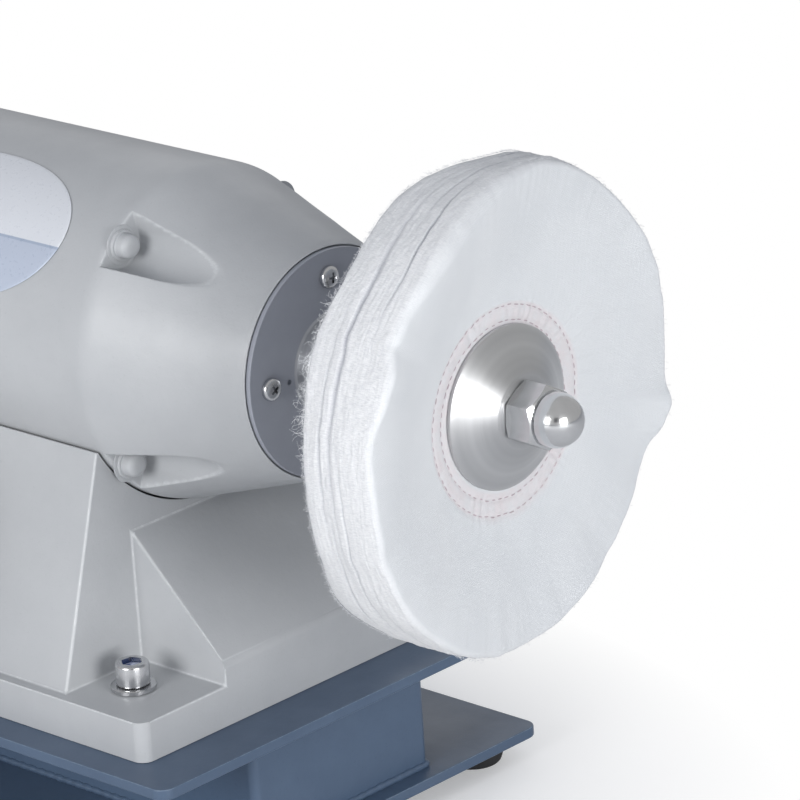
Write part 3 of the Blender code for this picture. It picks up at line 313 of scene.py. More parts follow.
class Graph:
    """Adds nodes to a tree and sets or links their inputs."""

    def __init__(self, tree):
        self.tree = tree

    def put(self, socket, value):
        if isinstance(value, bpy.types.NodeSocket):
            self.tree.links.new(value, socket)
        else:
            socket.default_value = value

    def add(self, kind, inputs=None, **settings):
        node = self.tree.nodes.new("ShaderNode" + kind)
        for name, value in settings.items():
            setattr(node, name, value)
        return self.fill(node, inputs or {})

    def fill(self, node, values):
        for name, value in values.items():
            self.put(node.inputs[name], value)
        return node

    def math(self, operation, a, b=0.0, c=0.0):
        return self.add("Math", {0: a, 1: b, 2: c}, operation=operation).outputs[0]

    def times(self, a, b):
        return self.math("MULTIPLY", a, b)

    def times_add(self, a, b, c):
        return self.math("MULTIPLY_ADD", a, b, c)

    def mark(self, name):
        """A mark that the piece's own mesh carries, such as where it is worn."""
        return self.add("Attribute", attribute_name=name).outputs["Fac"]

    def remap(self, value, low, high, to_low=0.0, to_high=1.0):
        return self.add("MapRange", {0: value, 1: low, 2: high, 3: to_low, 4: to_high}).outputs[0]

    def tint(self, share, first, second, blend="MIX"):
        return self.add("Mix", {0: share, 6: first, 7: second}, data_type="RGBA", blend_type=blend).outputs[2]

    def noise(self, place, scale, detail=3.0, roughness=0.5):
        return self.add("TexNoise", {"Vector": place, "Scale": scale, "Detail": detail,
                                     "Roughness": roughness}).outputs[0]

    def stretch(self, place, scale, location=(0.0, 0.0, 0.0)):
        return self.add("Mapping", {"Vector": place, "Scale": scale, "Location": location}).outputs[0]

    def use(self, group, inputs):
        return self.add("Group", inputs, node_tree=group).outputs


def make_group(name, inputs, outputs):
    """A shader node group with named inputs and outputs."""
    tree = bpy.data.node_groups.new(name, "ShaderNodeTree")
    for label, default in inputs.items():
        kind = "NodeSocketVector" if default is None else "NodeSocketFloat"
        socket = tree.interface.new_socket(label, in_out="INPUT", socket_type=kind)
        if default is not None:
            socket.default_value = default
    for label in outputs:
        tree.interface.new_socket(label, in_out="OUTPUT", socket_type="NodeSocketFloat")
    graph = Graph(tree)
    return graph, tree.nodes.new("NodeGroupInput").outputs, tree.nodes.new("NodeGroupOutput").inputs


def cast_surface_group():
    """Blotches, soft waves and fine grain of painted cast iron or moulded plastic."""
    graph, given, wanted = make_group("cast_surface", {"Place": None, "Grain Size": 900.0, "Wave Size": 60.0},
                                      ("Blotch", "Height", "Specks"))
    grain = graph.noise(given["Place"], given["Grain Size"], 2.0, 0.6)
    peel = graph.noise(given["Place"], graph.times(given["Grain Size"], 0.3), 2.0)
    wave = graph.noise(given["Place"], given["Wave Size"], 2.0)
    height = graph.times_add(peel, 0.6, graph.times(grain, 0.35))
    graph.put(wanted["Height"], graph.times_add(wave, 0.6, height))
    graph.put(wanted["Blotch"], graph.noise(given["Place"], graph.times(given["Wave Size"], 0.25),
                                            5.0, 0.6))
    specks = graph.noise(given["Place"], given["Grain Size"], 1.0)
    graph.put(wanted["Specks"], graph.remap(specks, 0.66, 0.76))
    return graph.tree


def edge_wear_and_highlight_group():
    """Where paint is thin or chipped along a rounded edge, and where an edge gets a painted highlight: the
    piece's own mark, broken up by noise.
    """
    graph, given, wanted = make_group("worn_edge", {"Place": None, "Amount": 0.5, "Chip Size": 260.0},
                                      ("Mask",))
    marked = graph.mark("worn")
    chips = graph.noise(given["Place"], given["Chip Size"], 4.0, 0.65)
    low = graph.math("SUBTRACT", 1.0, given["Amount"])
    chipped = graph.remap(chips, graph.times(low, 0.9), graph.times(low, 1.15))
    share = graph.times_add(chipped, 0.5, 0.45)
    graph.put(wanted["Mask"], graph.times(marked, share))
    return graph.tree


def scratch_group():
    """Short fine scratches in two directions, as a mask."""
    graph, given, wanted = make_group("scratches", {"Place": None, "Density": 0.3}, ("Mask",))
    limit = graph.math("SUBTRACT", 1.0, given["Density"])
    masks = []
    for turn, scale in ((0.5, (2600.0, 90.0, 90.0)), (2.1, (90.0, 2200.0, 120.0))):
        turned_place = graph.add("Mapping", {"Vector": given["Place"], "Rotation": (turn, turn * 0.4, turn)})
        lines = graph.noise(graph.stretch(turned_place.outputs[0], scale), 1.0, 1.0)
        masks.append(graph.remap(lines, graph.times(limit, 0.95), graph.math("ADD", limit, 0.12)))
    graph.put(wanted["Mask"], graph.math("MAXIMUM", *masks))
    return graph.tree


def round_spindle_group():
    """Angle round the spindle in turns, and distance from it in metres."""
    graph, given, wanted = make_group("round_spindle", {"Place": None}, ("Turn", "Radius"))
    axes = graph.add("SeparateXYZ", {0: given["Place"]}).outputs
    upward = graph.math("SUBTRACT", axes[2], SHAFT_Z * MM)
    graph.put(wanted["Turn"], graph.math("DIVIDE", graph.math("ARCTAN2", upward, axes[1]), FULL_TURN))
    squares = [graph.times(value, value) for value in (axes[1], upward)]
    graph.put(wanted["Radius"], graph.math("SQRT", graph.math("ADD", *squares)))
    return graph.tree


def turned_lines_group():
    """Rings left by a lathe tool round the spindle."""
    graph, given, wanted = make_group("turned_lines", {"Place": None, "Spacing": 2500.0}, ("Height", "Tone"))
    radius = graph.use(ROUND_SPINDLE, {"Place": given["Place"]})["Radius"]
    x = graph.add("SeparateXYZ", {0: given["Place"]}).outputs[0]
    along = graph.add("CombineXYZ", {0: graph.math("ADD", radius, x), 1: 0.0, 2: 0.0}).outputs[0]
    graph.put(wanted["Height"], graph.noise(along, given["Spacing"], 3.0, 0.7))
    graph.put(wanted["Tone"], graph.noise(along, graph.times(given["Spacing"], 0.12), 2.0))
    return graph.tree


CAST_SURFACE = cast_surface_group()
EDGE_WEAR_AND_HIGHLIGHT = edge_wear_and_highlight_group()
SCRATCHES = scratch_group()
ROUND_SPINDLE = round_spindle_group()
TURNED_LINES = turned_lines_group()


def new_material(name):
    """A material with an empty graph, its Principled shader and the piece's own coordinates."""
    material = bpy.data.materials.new(name)
    material.use_nodes = True
    graph = Graph(material.node_tree)
    shader = material.node_tree.nodes["Principled BSDF"]
    place = graph.add("TexCoord").outputs["Object"]
    return material, graph, shader, place


def bump(graph, shader, height, strength, distance=0.0004):
    lifted = graph.add("Bump", {"Height": height, "Strength": strength, "Distance": distance})
    graph.put(shader.inputs["Normal"], lifted.outputs[0])


def colour(*values):
    return tuple(values) + (1.0,)


def painted(name, light, dark, roughness, grain=900.0, wave=60.0, depth=0.35, worn=None, wear_and_highlight_amount=0.5,
            specks=0.1, gloss=0.5):
    """Paint or moulded plastic: two tones in blotches, grain, lighter edges for wear and painted highlight,
    and painted shade in marked hollows.
    """
    material, graph, shader, place = new_material(name)
    surface = graph.use(CAST_SURFACE, {"Place": place, "Grain Size": grain, "Wave Size": wave})
    tone = graph.tint(graph.remap(surface["Blotch"], 0.3, 0.7), dark, light)
    tone = graph.tint(graph.times(surface["Specks"], specks), tone, dark, "MULTIPLY")
    rough = graph.remap(surface["Blotch"], 0.3, 0.7, roughness + 0.06, roughness - 0.05)
    if worn:
        mask = graph.use(EDGE_WEAR_AND_HIGHLIGHT, {"Place": place, "Amount": wear_and_highlight_amount})["Mask"]
        # Marked edges turn lighter: paint worn thin, and a painted highlight.
        tone = graph.tint(mask, tone, worn)
        # Faces marked hollow turn near black: painted shade in a gap.
        painted_shade = graph.mark("hollow")
        tone = graph.tint(painted_shade, tone, colour(0.02, 0.02, 0.022))
        rough = graph.times_add(mask, -0.1, rough)
    graph.fill(shader, {"Base Color": tone, "Roughness": rough, "Specular IOR Level": gloss})
    bump(graph, shader, surface["Height"], depth)
    return material


def metal(name, light, dark, roughness, spacing=2500.0, depth=0.25, scratched=0.3, anisotropy=0.0,
          lines=True):
    """Bare metal with tool marks round the spindle and a few scratches."""
    material, graph, shader, place = new_material(name)
    turned_marks = graph.use(TURNED_LINES, {"Place": place, "Spacing": spacing})
    scratch = graph.use(SCRATCHES, {"Place": place, "Density": scratched})["Mask"]
    cloudy = graph.noise(place, 70.0, 3.0)
    tone = graph.tint(graph.remap(turned_marks["Tone"] if lines else cloudy, 0.3, 0.7), dark, light)
    tone = graph.tint(graph.times(scratch, 0.4), tone, colour(0.9, 0.9, 0.9))
    rough = graph.remap(cloudy, 0.3, 0.7, roughness - 0.04, roughness + 0.06)
    rough = graph.times_add(scratch, 0.12, rough)
    graph.fill(shader, {"Base Color": tone, "Roughness": rough, "Metallic": 1.0})
    height = graph.times_add(scratch, 0.4, turned_marks["Height"]) if lines else (
        graph.times_add(scratch, 0.5, cloudy))
    bump(graph, shader, height, depth, 0.00008)
    if anisotropy:
        tangent = graph.add("Tangent", direction_type="RADIAL", axis="X").outputs[0]
        graph.fill(shader, {"Anisotropic": anisotropy, "Anisotropic Rotation": 0.25, "Tangent": tangent})
    return material


def cotton_material(name):
    """Sewn cotton: smooth weave on the faces, ply edges and cross threads on the rim."""
    material, graph, shader, place = new_material(name)
    rim = graph.mark("rim")
    depth = graph.mark("hollow")
    polar = graph.use(ROUND_SPINDLE, {"Place": place})
    x = graph.add("SeparateXYZ", {0: place}).outputs[0]
    around = graph.times(polar["Turn"], FULL_TURN * WHEEL_RADIUS * MM)
    unrolled = graph.add("CombineXYZ", {0: x, 1: around, 2: polar["Radius"]}).outputs[0]
    plies = graph.noise(graph.stretch(unrolled, (2600.0, 60.0, 200.0)), 1.0, 3.0, 0.6)
    cross = graph.noise(graph.stretch(unrolled, (320.0, 2600.0, 500.0)), 1.0, 3.0, 0.65)
    nap = graph.noise(place, 2200.0, 3.0, 0.7)
    weave = nap
    for axis in "ZY":
        yarns = graph.add("TexWave", {"Vector": place, "Scale": 330.0, "Distortion": 0.4, "Detail": 1.0},
                          bands_direction=axis).outputs["Fac"]
        weave = graph.times_add(yarns, 0.25, weave)
    ply_and_cross = graph.times_add(plies, 0.9, graph.times(cross, 1.1))
    height = graph.add("Mix", {0: rim, 2: weave, 3: ply_and_cross}, data_type="FLOAT").outputs[0]
    soft = graph.noise(place, 24.0, 4.0)
    cloth = graph.tint(graph.remap(soft, 0.3, 0.7), colour(0.665, 0.685, 0.705), colour(0.70, 0.717, 0.733))
    rim_tone = graph.tint(graph.remap(cross, 0.34, 0.62), colour(0.60, 0.61, 0.63), colour(0.76, 0.765, 0.77))
    # Darker where the plies' height is low: painted shade between plies.
    rim_tone = graph.tint(graph.remap(plies, 0.28, 0.5, 0.3, 0.0), rim_tone, colour(0.46, 0.47, 0.52))
    tone = graph.tint(rim, cloth, rim_tone)
    sewn = graph.mark("sewn")
    band = graph.times(sewn, graph.remap(graph.noise(place, 140.0, 4.0), 0.3, 0.7, 0.25, 0.75))
    tone = graph.tint(band, tone, colour(0.70, 0.635, 0.645))
    # The hollow mark darkens the cloth: painted shade in the gaps between bundles of plies.
    tone = graph.tint(graph.times(depth, 0.7), tone, colour(0.32, 0.33, 0.38))
    rough = graph.remap(nap, 0.3, 0.7, 0.86, 0.97)
    graph.fill(shader, {"Base Color": tone, "Roughness": rough, "Sheen Weight": 0.25,
                        "Sheen Roughness": 0.5, "Specular IOR Level": 0.2})
    bump(graph, shader, height, 0.4, 0.0005)
    return material


def cover_material(name):
    """Slate paint with fine grain; the boss in the middle is bare satin metal."""
    material, graph, shader, place = new_material(name)
    surface = graph.use(CAST_SURFACE, {"Place": place, "Grain Size": 1600.0, "Wave Size": 90.0})
    radius = graph.use(ROUND_SPINDLE, {"Place": place})["Radius"]
    boss = graph.remap(radius, COVER_BOSS + 0.0003, COVER_BOSS - 0.0003)
    lines = graph.use(TURNED_LINES, {"Place": place, "Spacing": 2200.0})
    slate = graph.tint(graph.remap(surface["Blotch"], 0.3, 0.7), colour(0.30, 0.315, 0.36),
                       colour(0.335, 0.35, 0.395))
    slate = graph.tint(graph.times(surface["Specks"], 0.3), slate, colour(0.42, 0.43, 0.46))
    satin = graph.tint(graph.remap(lines["Tone"], 0.3, 0.7), colour(0.46, 0.47, 0.49),
                       colour(0.56, 0.57, 0.59))
    graph.fill(shader, {"Base Color": graph.tint(boss, slate, satin), "Metallic": graph.times(boss, 0.8),
                        "Roughness": graph.remap(boss, 0.0, 1.0, 0.42, 0.3)})
    bump(graph, shader, graph.times_add(lines["Height"], 0.3, surface["Height"]), 0.2)
    return material


def label_material(name):
    """The plate's two plain fields: white above, pale blue-grey below."""
    material, graph, shader, place = new_material(name)
    axes = graph.add("SeparateXYZ", {0: place}).outputs
    upward = graph.math("SUBTRACT", axes[2], SHAFT_Z * MM)
    angle = graph.math("ARCTAN2", upward, graph.times(axes[1], -1.0))
    arc = graph.times(angle, LABEL_RADIUS)
    grain = graph.noise(place, 500.0, 2.0)
    upper = graph.remap(arc, FIELD_LINE + 0.0004, FIELD_LINE + 0.0009)
    tone = graph.tint(upper, colour(0.44, 0.49, 0.59), colour(0.67, 0.69, 0.73))
    line = graph.times(*(graph.remap(arc, FIELD_LINE + 0.0009 * side, FIELD_LINE + 0.0005 * side)
                         for side in (-1, 1)))
    tone = graph.tint(graph.times(line, 0.8), tone, colour(0.30, 0.36, 0.47))
    tone = graph.tint(graph.remap(grain, 0.3, 0.7, 0.0, 0.06), tone, colour(0.6, 0.6, 0.6))
    graph.fill(shader, {"Base Color": tone, "Roughness": graph.remap(grain, 0.3, 0.7, 0.26, 0.34)})
    bump(graph, shader, grain, 0.08)
    return material


CASTING = painted("casting_paint", colour(0.475, 0.487, 0.50), colour(0.425, 0.437, 0.452), 0.42,
                  worn=colour(0.60, 0.615, 0.625), wear_and_highlight_amount=0.46)
COVER = cover_material("cover_paint")
STAND = painted("stand_paint", colour(0.082, 0.125, 0.195), colour(0.062, 0.098, 0.16), 0.4, grain=700.0,
                depth=0.25, worn=colour(0.16, 0.21, 0.28), wear_and_highlight_amount=0.5)
RUBBER = painted("foot_rubber", colour(0.035, 0.035, 0.037), colour(0.022, 0.022, 0.024), 0.75, depth=0.4)
BLACK = painted("black_plastic", colour(0.04, 0.04, 0.045), colour(0.028, 0.028, 0.032), 0.45, grain=1200.0,
                worn=colour(0.12, 0.12, 0.13), wear_and_highlight_amount=0.4)
GREEN = painted("green_plastic", colour(0.03, 0.36, 0.11), colour(0.02, 0.28, 0.08), 0.35, depth=0.12)
RED = painted("red_plastic", colour(0.58, 0.03, 0.03), colour(0.46, 0.02, 0.02), 0.35, depth=0.12)
NAVY = painted("navy_plastic", colour(0.02, 0.07, 0.26), colour(0.012, 0.045, 0.17), 0.4, depth=0.2)
LAMINATION = painted("lamination_steel", colour(0.32, 0.32, 0.33), colour(0.24, 0.24, 0.25), 0.5)
COPPER = painted("winding_copper", colour(0.55, 0.25, 0.12), colour(0.4, 0.17, 0.08), 0.4)
TURNED = metal("turned_steel", colour(0.70, 0.705, 0.71), colour(0.46, 0.465, 0.475), 0.4, spacing=1500.0,
               depth=0.9, scratched=0.0, anisotropy=0.6)
SHAFT = metal("shaft_steel", colour(0.6, 0.605, 0.61), colour(0.42, 0.425, 0.435), 0.24)
CHROME = metal("nut_chrome", colour(0.72, 0.725, 0.735), colour(0.62, 0.625, 0.635), 0.15, depth=0.06,
               scratched=0.12, lines=False)
ZINC = metal("screw_zinc", colour(0.66, 0.665, 0.68), colour(0.54, 0.545, 0.56), 0.2, depth=0.12, lines=False)
COTTON = cotton_material("wheel_cotton")
FRAYED = painted("frayed_cotton", colour(0.78, 0.785, 0.795), colour(0.66, 0.67, 0.69), 0.9, gloss=0.2)
STITCH = painted("stitch_thread", colour(0.60, 0.50, 0.53), colour(0.42, 0.35, 0.39), 0.8, gloss=0.2)
LABEL = label_material("label_face")


# Stand

def bevel_with_wear_and_highlight(bm, chosen, offset, segments):
    """Rounds the chosen edges and marks the middle of the rounding, where the paint turns lighter: thin paint
    and painted highlight.
    """
    layer = bm.faces.layers.float.get("worn") or bm.faces.layers.float.new("worn")
    rounded = set(bevel(bm, chosen, offset, segments)["faces"])
    for face in rounded:
        longest = max(edge.calc_length() for edge in face.edges)
        sides = [edge for edge in face.edges if edge.calc_length() > 0.6 * longest]
        if all(other in rounded for edge in sides for other in edge.link_faces):
            face[layer] = 1.0


def box_of(node):
    """Lowest and highest corner of a CAD node, in millimetres."""
    return [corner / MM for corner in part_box(node)]


def add_foot(node):
    low, high = box_of(node)
    x, y = (low.x + high.x) / 2, (low.y + high.y) / 2
    profile = [(0.0, 0.0), (0.0, 14.2), (0.8, 15.0), (1.6, 15.4), (9.6, 17.9), (10.2, 17.9), (10.5, 17.2),
               (10.9, 17.2), (11.2, 18.0), (11.8, 18.0), (12.0, 17.7), (12.0, 0.0)]
    place = Matrix.Translation((x, y, 0.0)) @ UPRIGHT
    finish_piece(FINE + node, turned(profile, 64), RUBBER, place)


def add_plate(node):
    low, high = box_of(node)
    bm = rounded_box(low, high, PLATE_CORNER, 0.0)
    bevel_with_wear_and_highlight(bm, is_level, 0.8, 3)
    if node == "stand_top_plate":
        holes = []
        for x, y in HOLD_SCREWS:
            hole = turned(plain_rod(low.z - CUT_PAST, high.z + CUT_PAST, HOLD_HOLE_RADIUS), 32)
            move(hole, Matrix.Translation((x, y, 0.0)) @ UPRIGHT)
            holes.append(hole)
        bm = combine(bm, cut=holes)
    finish_piece(FINE + node, bm, STAND, ON_FLOOR, even=True)


def weld_bead(name, half_x, half_y, corner, z):
    """A wavy weld bead round the column, where it meets a plate."""
    straight = ((half_x - corner, half_y), (half_y - corner, half_x))
    outline = []
    for quarter in range(4):
        turn = Matrix.Rotation(quarter * math.pi / 2, 2)
        long_half, side = straight[quarter % 2]
        count = int(2 * long_half / BEAD_STEP)
        for step in range(count):
            outline.append(turn @ Vector((long_half - 2 * long_half * step / count, side)))
        for step in range(5):
            angle = math.pi / 2 * (1 + step / 5)
            outline.append(turn @ Vector((-long_half + corner * math.cos(angle),
                                          side - corner + corner * math.sin(angle))))
    points = []
    for index, point in enumerate(outline):
        wave = 0.35 * math.sin(index * 1.4) + 0.5 * ripple(index * 0.13, z)
        points.append((point.x, point.y, z + 0.3 * wave, 1.0 + 0.25 * wave))
    threads(name, [points], BEAD_RADIUS, STAND, ON_FLOOR, "frame", closed=True)


def add_stand():
    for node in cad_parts:
        if node.startswith("rubber_foot"):
            add_foot(node)
    add_plate("stand_floor_plate")
    add_plate("stand_top_plate")
    low, high = box_of("stand_column")
    inset = Vector((COLUMN_WALL, COLUMN_WALL, -CUT_PAST))
    outer = rounded_box(low, high, COLUMN_CORNER, 0.0)
    inner = rounded_box(low + inset, high - inset, COLUMN_CORNER / 2, 0.0)
    finish_piece("fine_stand_column", combine(outer, cut=[inner]), STAND, ON_FLOOR, even=True)
    for name, z in (("lower_weld", low.z + 1.0), ("upper_weld", high.z - 1.0)):
        weld_bead(name, high.x, high.y, COLUMN_CORNER, z)


# Pedestal

def block_half_depth(z):
    slope = (BLOCK_FOOT_DEPTH - LIP[0]) / (LIP[1] - SOLE_TOP)
    return LIP[0] + (LIP[1] - z) * slope


def wing_height(x):
    share = (x - BLOCK_HALF) / (SOLE_HALF[0] - BLOCK_HALF)
    return WING_RIDGE_Z + (WING_HEEL_Z - WING_RIDGE_Z) * share


def mirrored(half):
    return half + [(-a, b) for a, b in reversed(half)]


def add_pedestal():
    buried = UNDERSIDE + 11.0
    wall = 10.0
    sole = rounded_box((-SOLE_HALF[0], -SOLE_HALF[1], UNDERSIDE), SOLE_HALF + (SOLE_TOP,), 7.0, 0.0, 7)
    block = prism(mirrored([(block_half_depth(buried), buried), LIP]), -BLOCK_HALF, BLOCK_HALF, "X")
    reach = SOLE_HALF[0]
    wings = prism(mirrored([(reach, buried), (reach, WING_HEEL_Z), (BLOCK_HALF, WING_RIDGE_Z)]),
                  -WING_DEPTH, WING_DEPTH, "Y")
    saddle_radius = BARREL_RADIUS + 1.0
    saddle = turned(plain_rod(-2 * BLOCK_HALF, 2 * BLOCK_HALF, saddle_radius), 144)
    roof = -(BARREL_RADIUS + 0.3 + wall)
    low = UNDERSIDE - 5.0
    block_hollow = [(block_half_depth(SOLE_TOP) - wall, low), (block_half_depth(roof) - wall, roof)]
    hollow = prism(mirrored(block_hollow), wall - BLOCK_HALF, BLOCK_HALF - wall, "X")
    drop = wall * 1.4
    inner_reach = reach - wall
    run = (wing_height(BLOCK_HALF) - drop - roof) / (WING_RIDGE_Z - WING_HEEL_Z) * (reach - BLOCK_HALF)
    wing_hollow = prism(mirrored([(inner_reach, low), (inner_reach, wing_height(inner_reach) - drop),
                                  (BLOCK_HALF + run, roof)]), wall - WING_DEPTH, WING_DEPTH - wall, "Y")
    bm = combine(sole, joined=[block, wings], cut=[saddle, hollow, wing_hollow])
    bmesh.ops.dissolve_limit(bm, angle_limit=math.radians(0.4), verts=bm.verts[:], edges=bm.edges[:])

    def inside(point):
        in_block = (abs(point.x) < BLOCK_HALF - wall + 0.5 and point.z < roof + 0.5
                    and abs(point.y) < block_half_depth(point.z) - wall + 0.5)
        in_wing = (abs(point.y) < WING_DEPTH - wall + 0.5 and abs(point.x) < inner_reach + 0.5
                   and point.z < wing_height(abs(point.x)) - wall)
        return in_block or in_wing or point.z < UNDERSIDE + 0.5

    def on_saddle(edge):
        return all(abs(math.hypot(v.co.y, v.co.z) - saddle_radius) < 0.3 for v in edge.verts)

    def outer_edge(edge):
        return edge.calc_face_angle(0.0) > math.radians(20) and not inside(middle(edge))

    bevel(bm, lambda e: outer_edge(e) and (on_saddle(e) or middle(e).z > LIP[1] - 0.3), 0.25, 2)
    bevel(bm, lambda e: outer_edge(e) and abs(middle(e).z - WING_HEEL_Z) < 1.0, 3.0, 4)
    bevel_with_wear_and_highlight(bm, lambda e: outer_edge(e) and not on_saddle(e) and middle(e).z < LIP[1] - 1.5
               and e.calc_length() > 3.0, 1.7, 3)
    # The saddle's faces are marked hollow, for painted shade in the gap under the barrel.
    painted_shade = bm.faces.layers.float.new("hollow")
    for face in bm.faces:
        centre = face.calc_center_median()
        if abs(math.hypot(centre.y, centre.z) - saddle_radius) < 0.12:
            face[painted_shade] = 1.0
    finish_piece("fine_pedestal", bm, CASTING, sharp=SOFT_CAST_EDGE, even=True)


def hexagon_corners(flats):
    """Corners of a hexagon, the first one on the first axis."""
    reach = flats / math.sqrt(3)
    angles = [FULL_TURN * corner / 6 for corner in range(6)]
    return [(reach * math.cos(angle), reach * math.sin(angle)) for angle in angles]


def add_hold_screws():
    """Socket head screws on washers, each with a plug in its socket."""
    for index in range(len(HOLD_SCREWS)):
        number = index + 1
        low, high = box_of(f"hold_screw_{number}")
        washer_low, washer_high = box_of(f"hold_washer_{number}")
        centre = Matrix.Translation(((low.x + high.x) / 2, (low.y + high.y) / 2, 0.0))
        top, base = high.z, high.z - 12.0
        head = turned([(low.z, 0.0), (low.z, 5.2), (low.z + 1.0, 6.0), (base, 6.0), (base, 8.6),
                       (base + 0.5, 9.0), (top - 1.4, 9.0), (top - 0.7, 8.8), (top - 0.2, 8.3), (top, 7.6),
                       (top, 0.0)], 72)
        move(head, UPRIGHT)
        socket = prism(hexagon_corners(10.0), top - 6.0, top + 4.0, "Z")
        plug = prism(hexagon_corners(9.7), top - 5.95, top - 2.4, "Z")
        bevel(plug, lambda e: middle(e).z > top - 2.5, 0.6, 2)
        tightened = Matrix.Rotation(0.4 + index, 4, "Z")
        for bm in (socket, plug):
            move(bm, tightened)
        finish_piece(f"fine_hold_screw_{number}", combine(head, cut=[socket]), ZINC, centre)
        finish_piece(f"hold_screw_plug_{number}", plug, NAVY, centre)
        washer = turned([(washer_low.z, 6.6), (washer_low.z, 11.7), (washer_low.z + 0.3, 12.0),
                         (washer_high.z - 0.4, 12.0), (washer_high.z, 11.6), (washer_high.z, 6.6)], 72)
        finish_piece(f"fine_hold_washer_{number}", washer, ZINC, centre @ UPRIGHT)


# Motor

def soft_least(a, b, width):
    """The smaller of two numbers, with the corner between them rounded."""
    overlap = max(width - abs(a - b), 0.0) / width
    return min(a, b) - overlap * overlap * width / 4


def cone_radius(x):
    slope = (BARREL_RADIUS - BELL_END_RADIUS) / (BELL_END - CONE_START)
    return soft_least(BARREL_RADIUS, BARREL_RADIUS - slope * (x - CONE_START), 1.6)


def pocket_floor_radius(offset):
    """How near the spindle a pocket's wall comes, at an angle from the pocket's middle."""
    side = abs(POCKET_AXIS * math.sin(offset))
    steep = POCKET_RADIUS * 0.94
    depth = math.sqrt(POCKET_RADIUS ** 2 - min(side, steep) ** 2)
    return POCKET_AXIS * math.cos(offset) - depth + max(side - steep, 0.0) * 4.0


# Columns across the pocket's upright wall: place along the spindle, and share of the pocket's depth
POCKET_WALL = ((107.6, 0.0), (108.1, 0.004), (108.6, 0.015), (108.95, 0.04), (109.15, 0.08), (109.25, 0.14),
               (109.3, 0.24), (109.3, 0.38), (109.3, 0.52), (109.3, 0.66), (109.3, 0.78), (109.36, 0.87),
               (109.5, 0.93), (109.8, 0.97), (110.2, 0.99), (110.8, 1.0))


def end_bell():
    """A cast end bell: barrel end, cone, four bolt pockets with soft edges, and its hidden hollow."""
    outside = [(x, 0.0) for x in (BARREL_END, 99.0, 102.0, 105.0, 106.6)] + list(POCKET_WALL)
    outside += [(111.5 + 1.55 * step, 1.0) for step in range(54)]
    # The nose ends in a thin lip, and the cover sits in a groove inside it
    nose = [(195.2, 62.45), (196.2, 62.0), (197.2, 61.6), (198.0, 61.35), (198.4, 61.15), (198.6, 60.9),
            (198.55, 60.65), (196.6, 60.5), (196.6, 58.8), (198.0, 58.6)]
    hidden = nose + [(198.0, 31.3), (178.7, 31.3), (178.7, 25.5), (168.7, 25.5), (168.7, 54.8), (132.5, 62.3),
                     (BARREL_END, 62.3)]
    zone, zone_share = math.radians(13.0), 0.66

    def place(column, angle):
        sector = (angle - BOLT_TURN + math.pi / 4) % (math.pi / 2) - math.pi / 4
        share = abs(sector) / (math.pi / 4)
        if share < zone_share:
            moved = zone * share / zone_share
        else:
            moved = zone + (math.pi / 4 - zone) * (share - zone_share) / (1 - zone_share)
        offset = math.copysign(moved, sector)
        angle += offset - sector
        if column >= len(outside):
            x, radius = hidden[column - len(outside)]
            # The nose's lip gets the full edge mark: a painted highlight along its edge.
            return x, radius, angle, 1.0 if 198.3 < x and radius > 60.6 else 0.0
        x, sunk = outside[column]
        outer = cone_radius(x)
        floor = soft_least(outer, pocket_floor_radius(offset), 1.3)
        drop = (outer - floor) * sunk
        lumps = 0.12 * ripple(x * 0.09, offset * 9.0, math.cos(angle) * 3.0)
        # Along the pockets' rims the edge mark is a painted highlight.
        worn = 0.7 if 0.25 < drop < 1.3 and x < 168.0 else 0.0
        return x, outer - drop + lumps * min(1.0, (x - BARREL_END) / 20.0), angle, worn

    return grid_round(len(outside) + len(hidden), 480, ("worn",), place)


def bell_bolt():
    """A painted screw head with its washer on a ring of the spot face, its base at x = 0."""
    profile = [(-0.25, 0.0), (-0.25, 10.4), (0.15, 10.3), (0.3, 9.9), (0.3, 8.9), (0.35, 8.3), (1.2, 8.2),
               (1.55, 7.9), (1.6, 7.2), (1.65, 6.75), (2.0, 6.5), (5.6, 6.45), (6.7, 6.15), (7.6, 5.4),
               (8.2, 4.3), (8.5, 3.0), (8.65, 1.5), (8.7, 0.0)]
    return turned(profile, 56)


def cover_disc():
    """A bearing cover with its boss and a small grease hole beside it."""
    boss = [(208.6, 27.0), (210.2, 26.8), (211.4, 26.1), (212.1, 25.0), (212.3, 23.6)]
    edge = COVER_RADIUS - 0.9
    profile = [(COVER_BACK, 15.0), (COVER_BACK, edge), (200.7, edge), (201.15, edge - 0.12),
               (COVER_FACE, edge - 0.5), (COVER_FACE, 29.0), (201.5, 28.0), (202.2, 27.2), (203.2, 27.0)]
    disc = turned(profile + boss + [(212.3, 16.0), (211.9, 15.2), (211.3, 15.0)], 192)
    hole = turned(plain_rod(199.4, 206.0, 1.5), 20)
    move(hole, Matrix.Translation((0.0, -32.0, -0.8)))
    return combine(disc, cut=[hole])


def cover_screw():
    """A pan head with a cross recess, its base at x = 0."""
    head = turned([(0.0, 0.0), (0.0, 5.8), (0.2, 6.0), (1.7, 6.0), (2.5, 5.75), (3.2, 5.1), (3.7, 4.0),
                   (3.95, 2.4), (4.0, 0.0)], 48)
    slots = []
    for turn in (0.35, 0.35 + math.pi / 2):
        slot = prism([(-3.3, -0.7), (3.3, -0.7), (3.3, 0.7), (-3.3, 0.7)], 1.7, 5.0, "X")
        for vert in slot.verts:
            if vert.co.x < 2.0:
                vert.co.y *= 0.55
        move(slot, Matrix.Rotation(turn, 4, "X"))
        slots.append(slot)
    return combine(head, cut=slots)


def round_place(circle, turn, x):
    return Matrix.Translation((x, -circle * math.cos(turn), circle * math.sin(turn)))


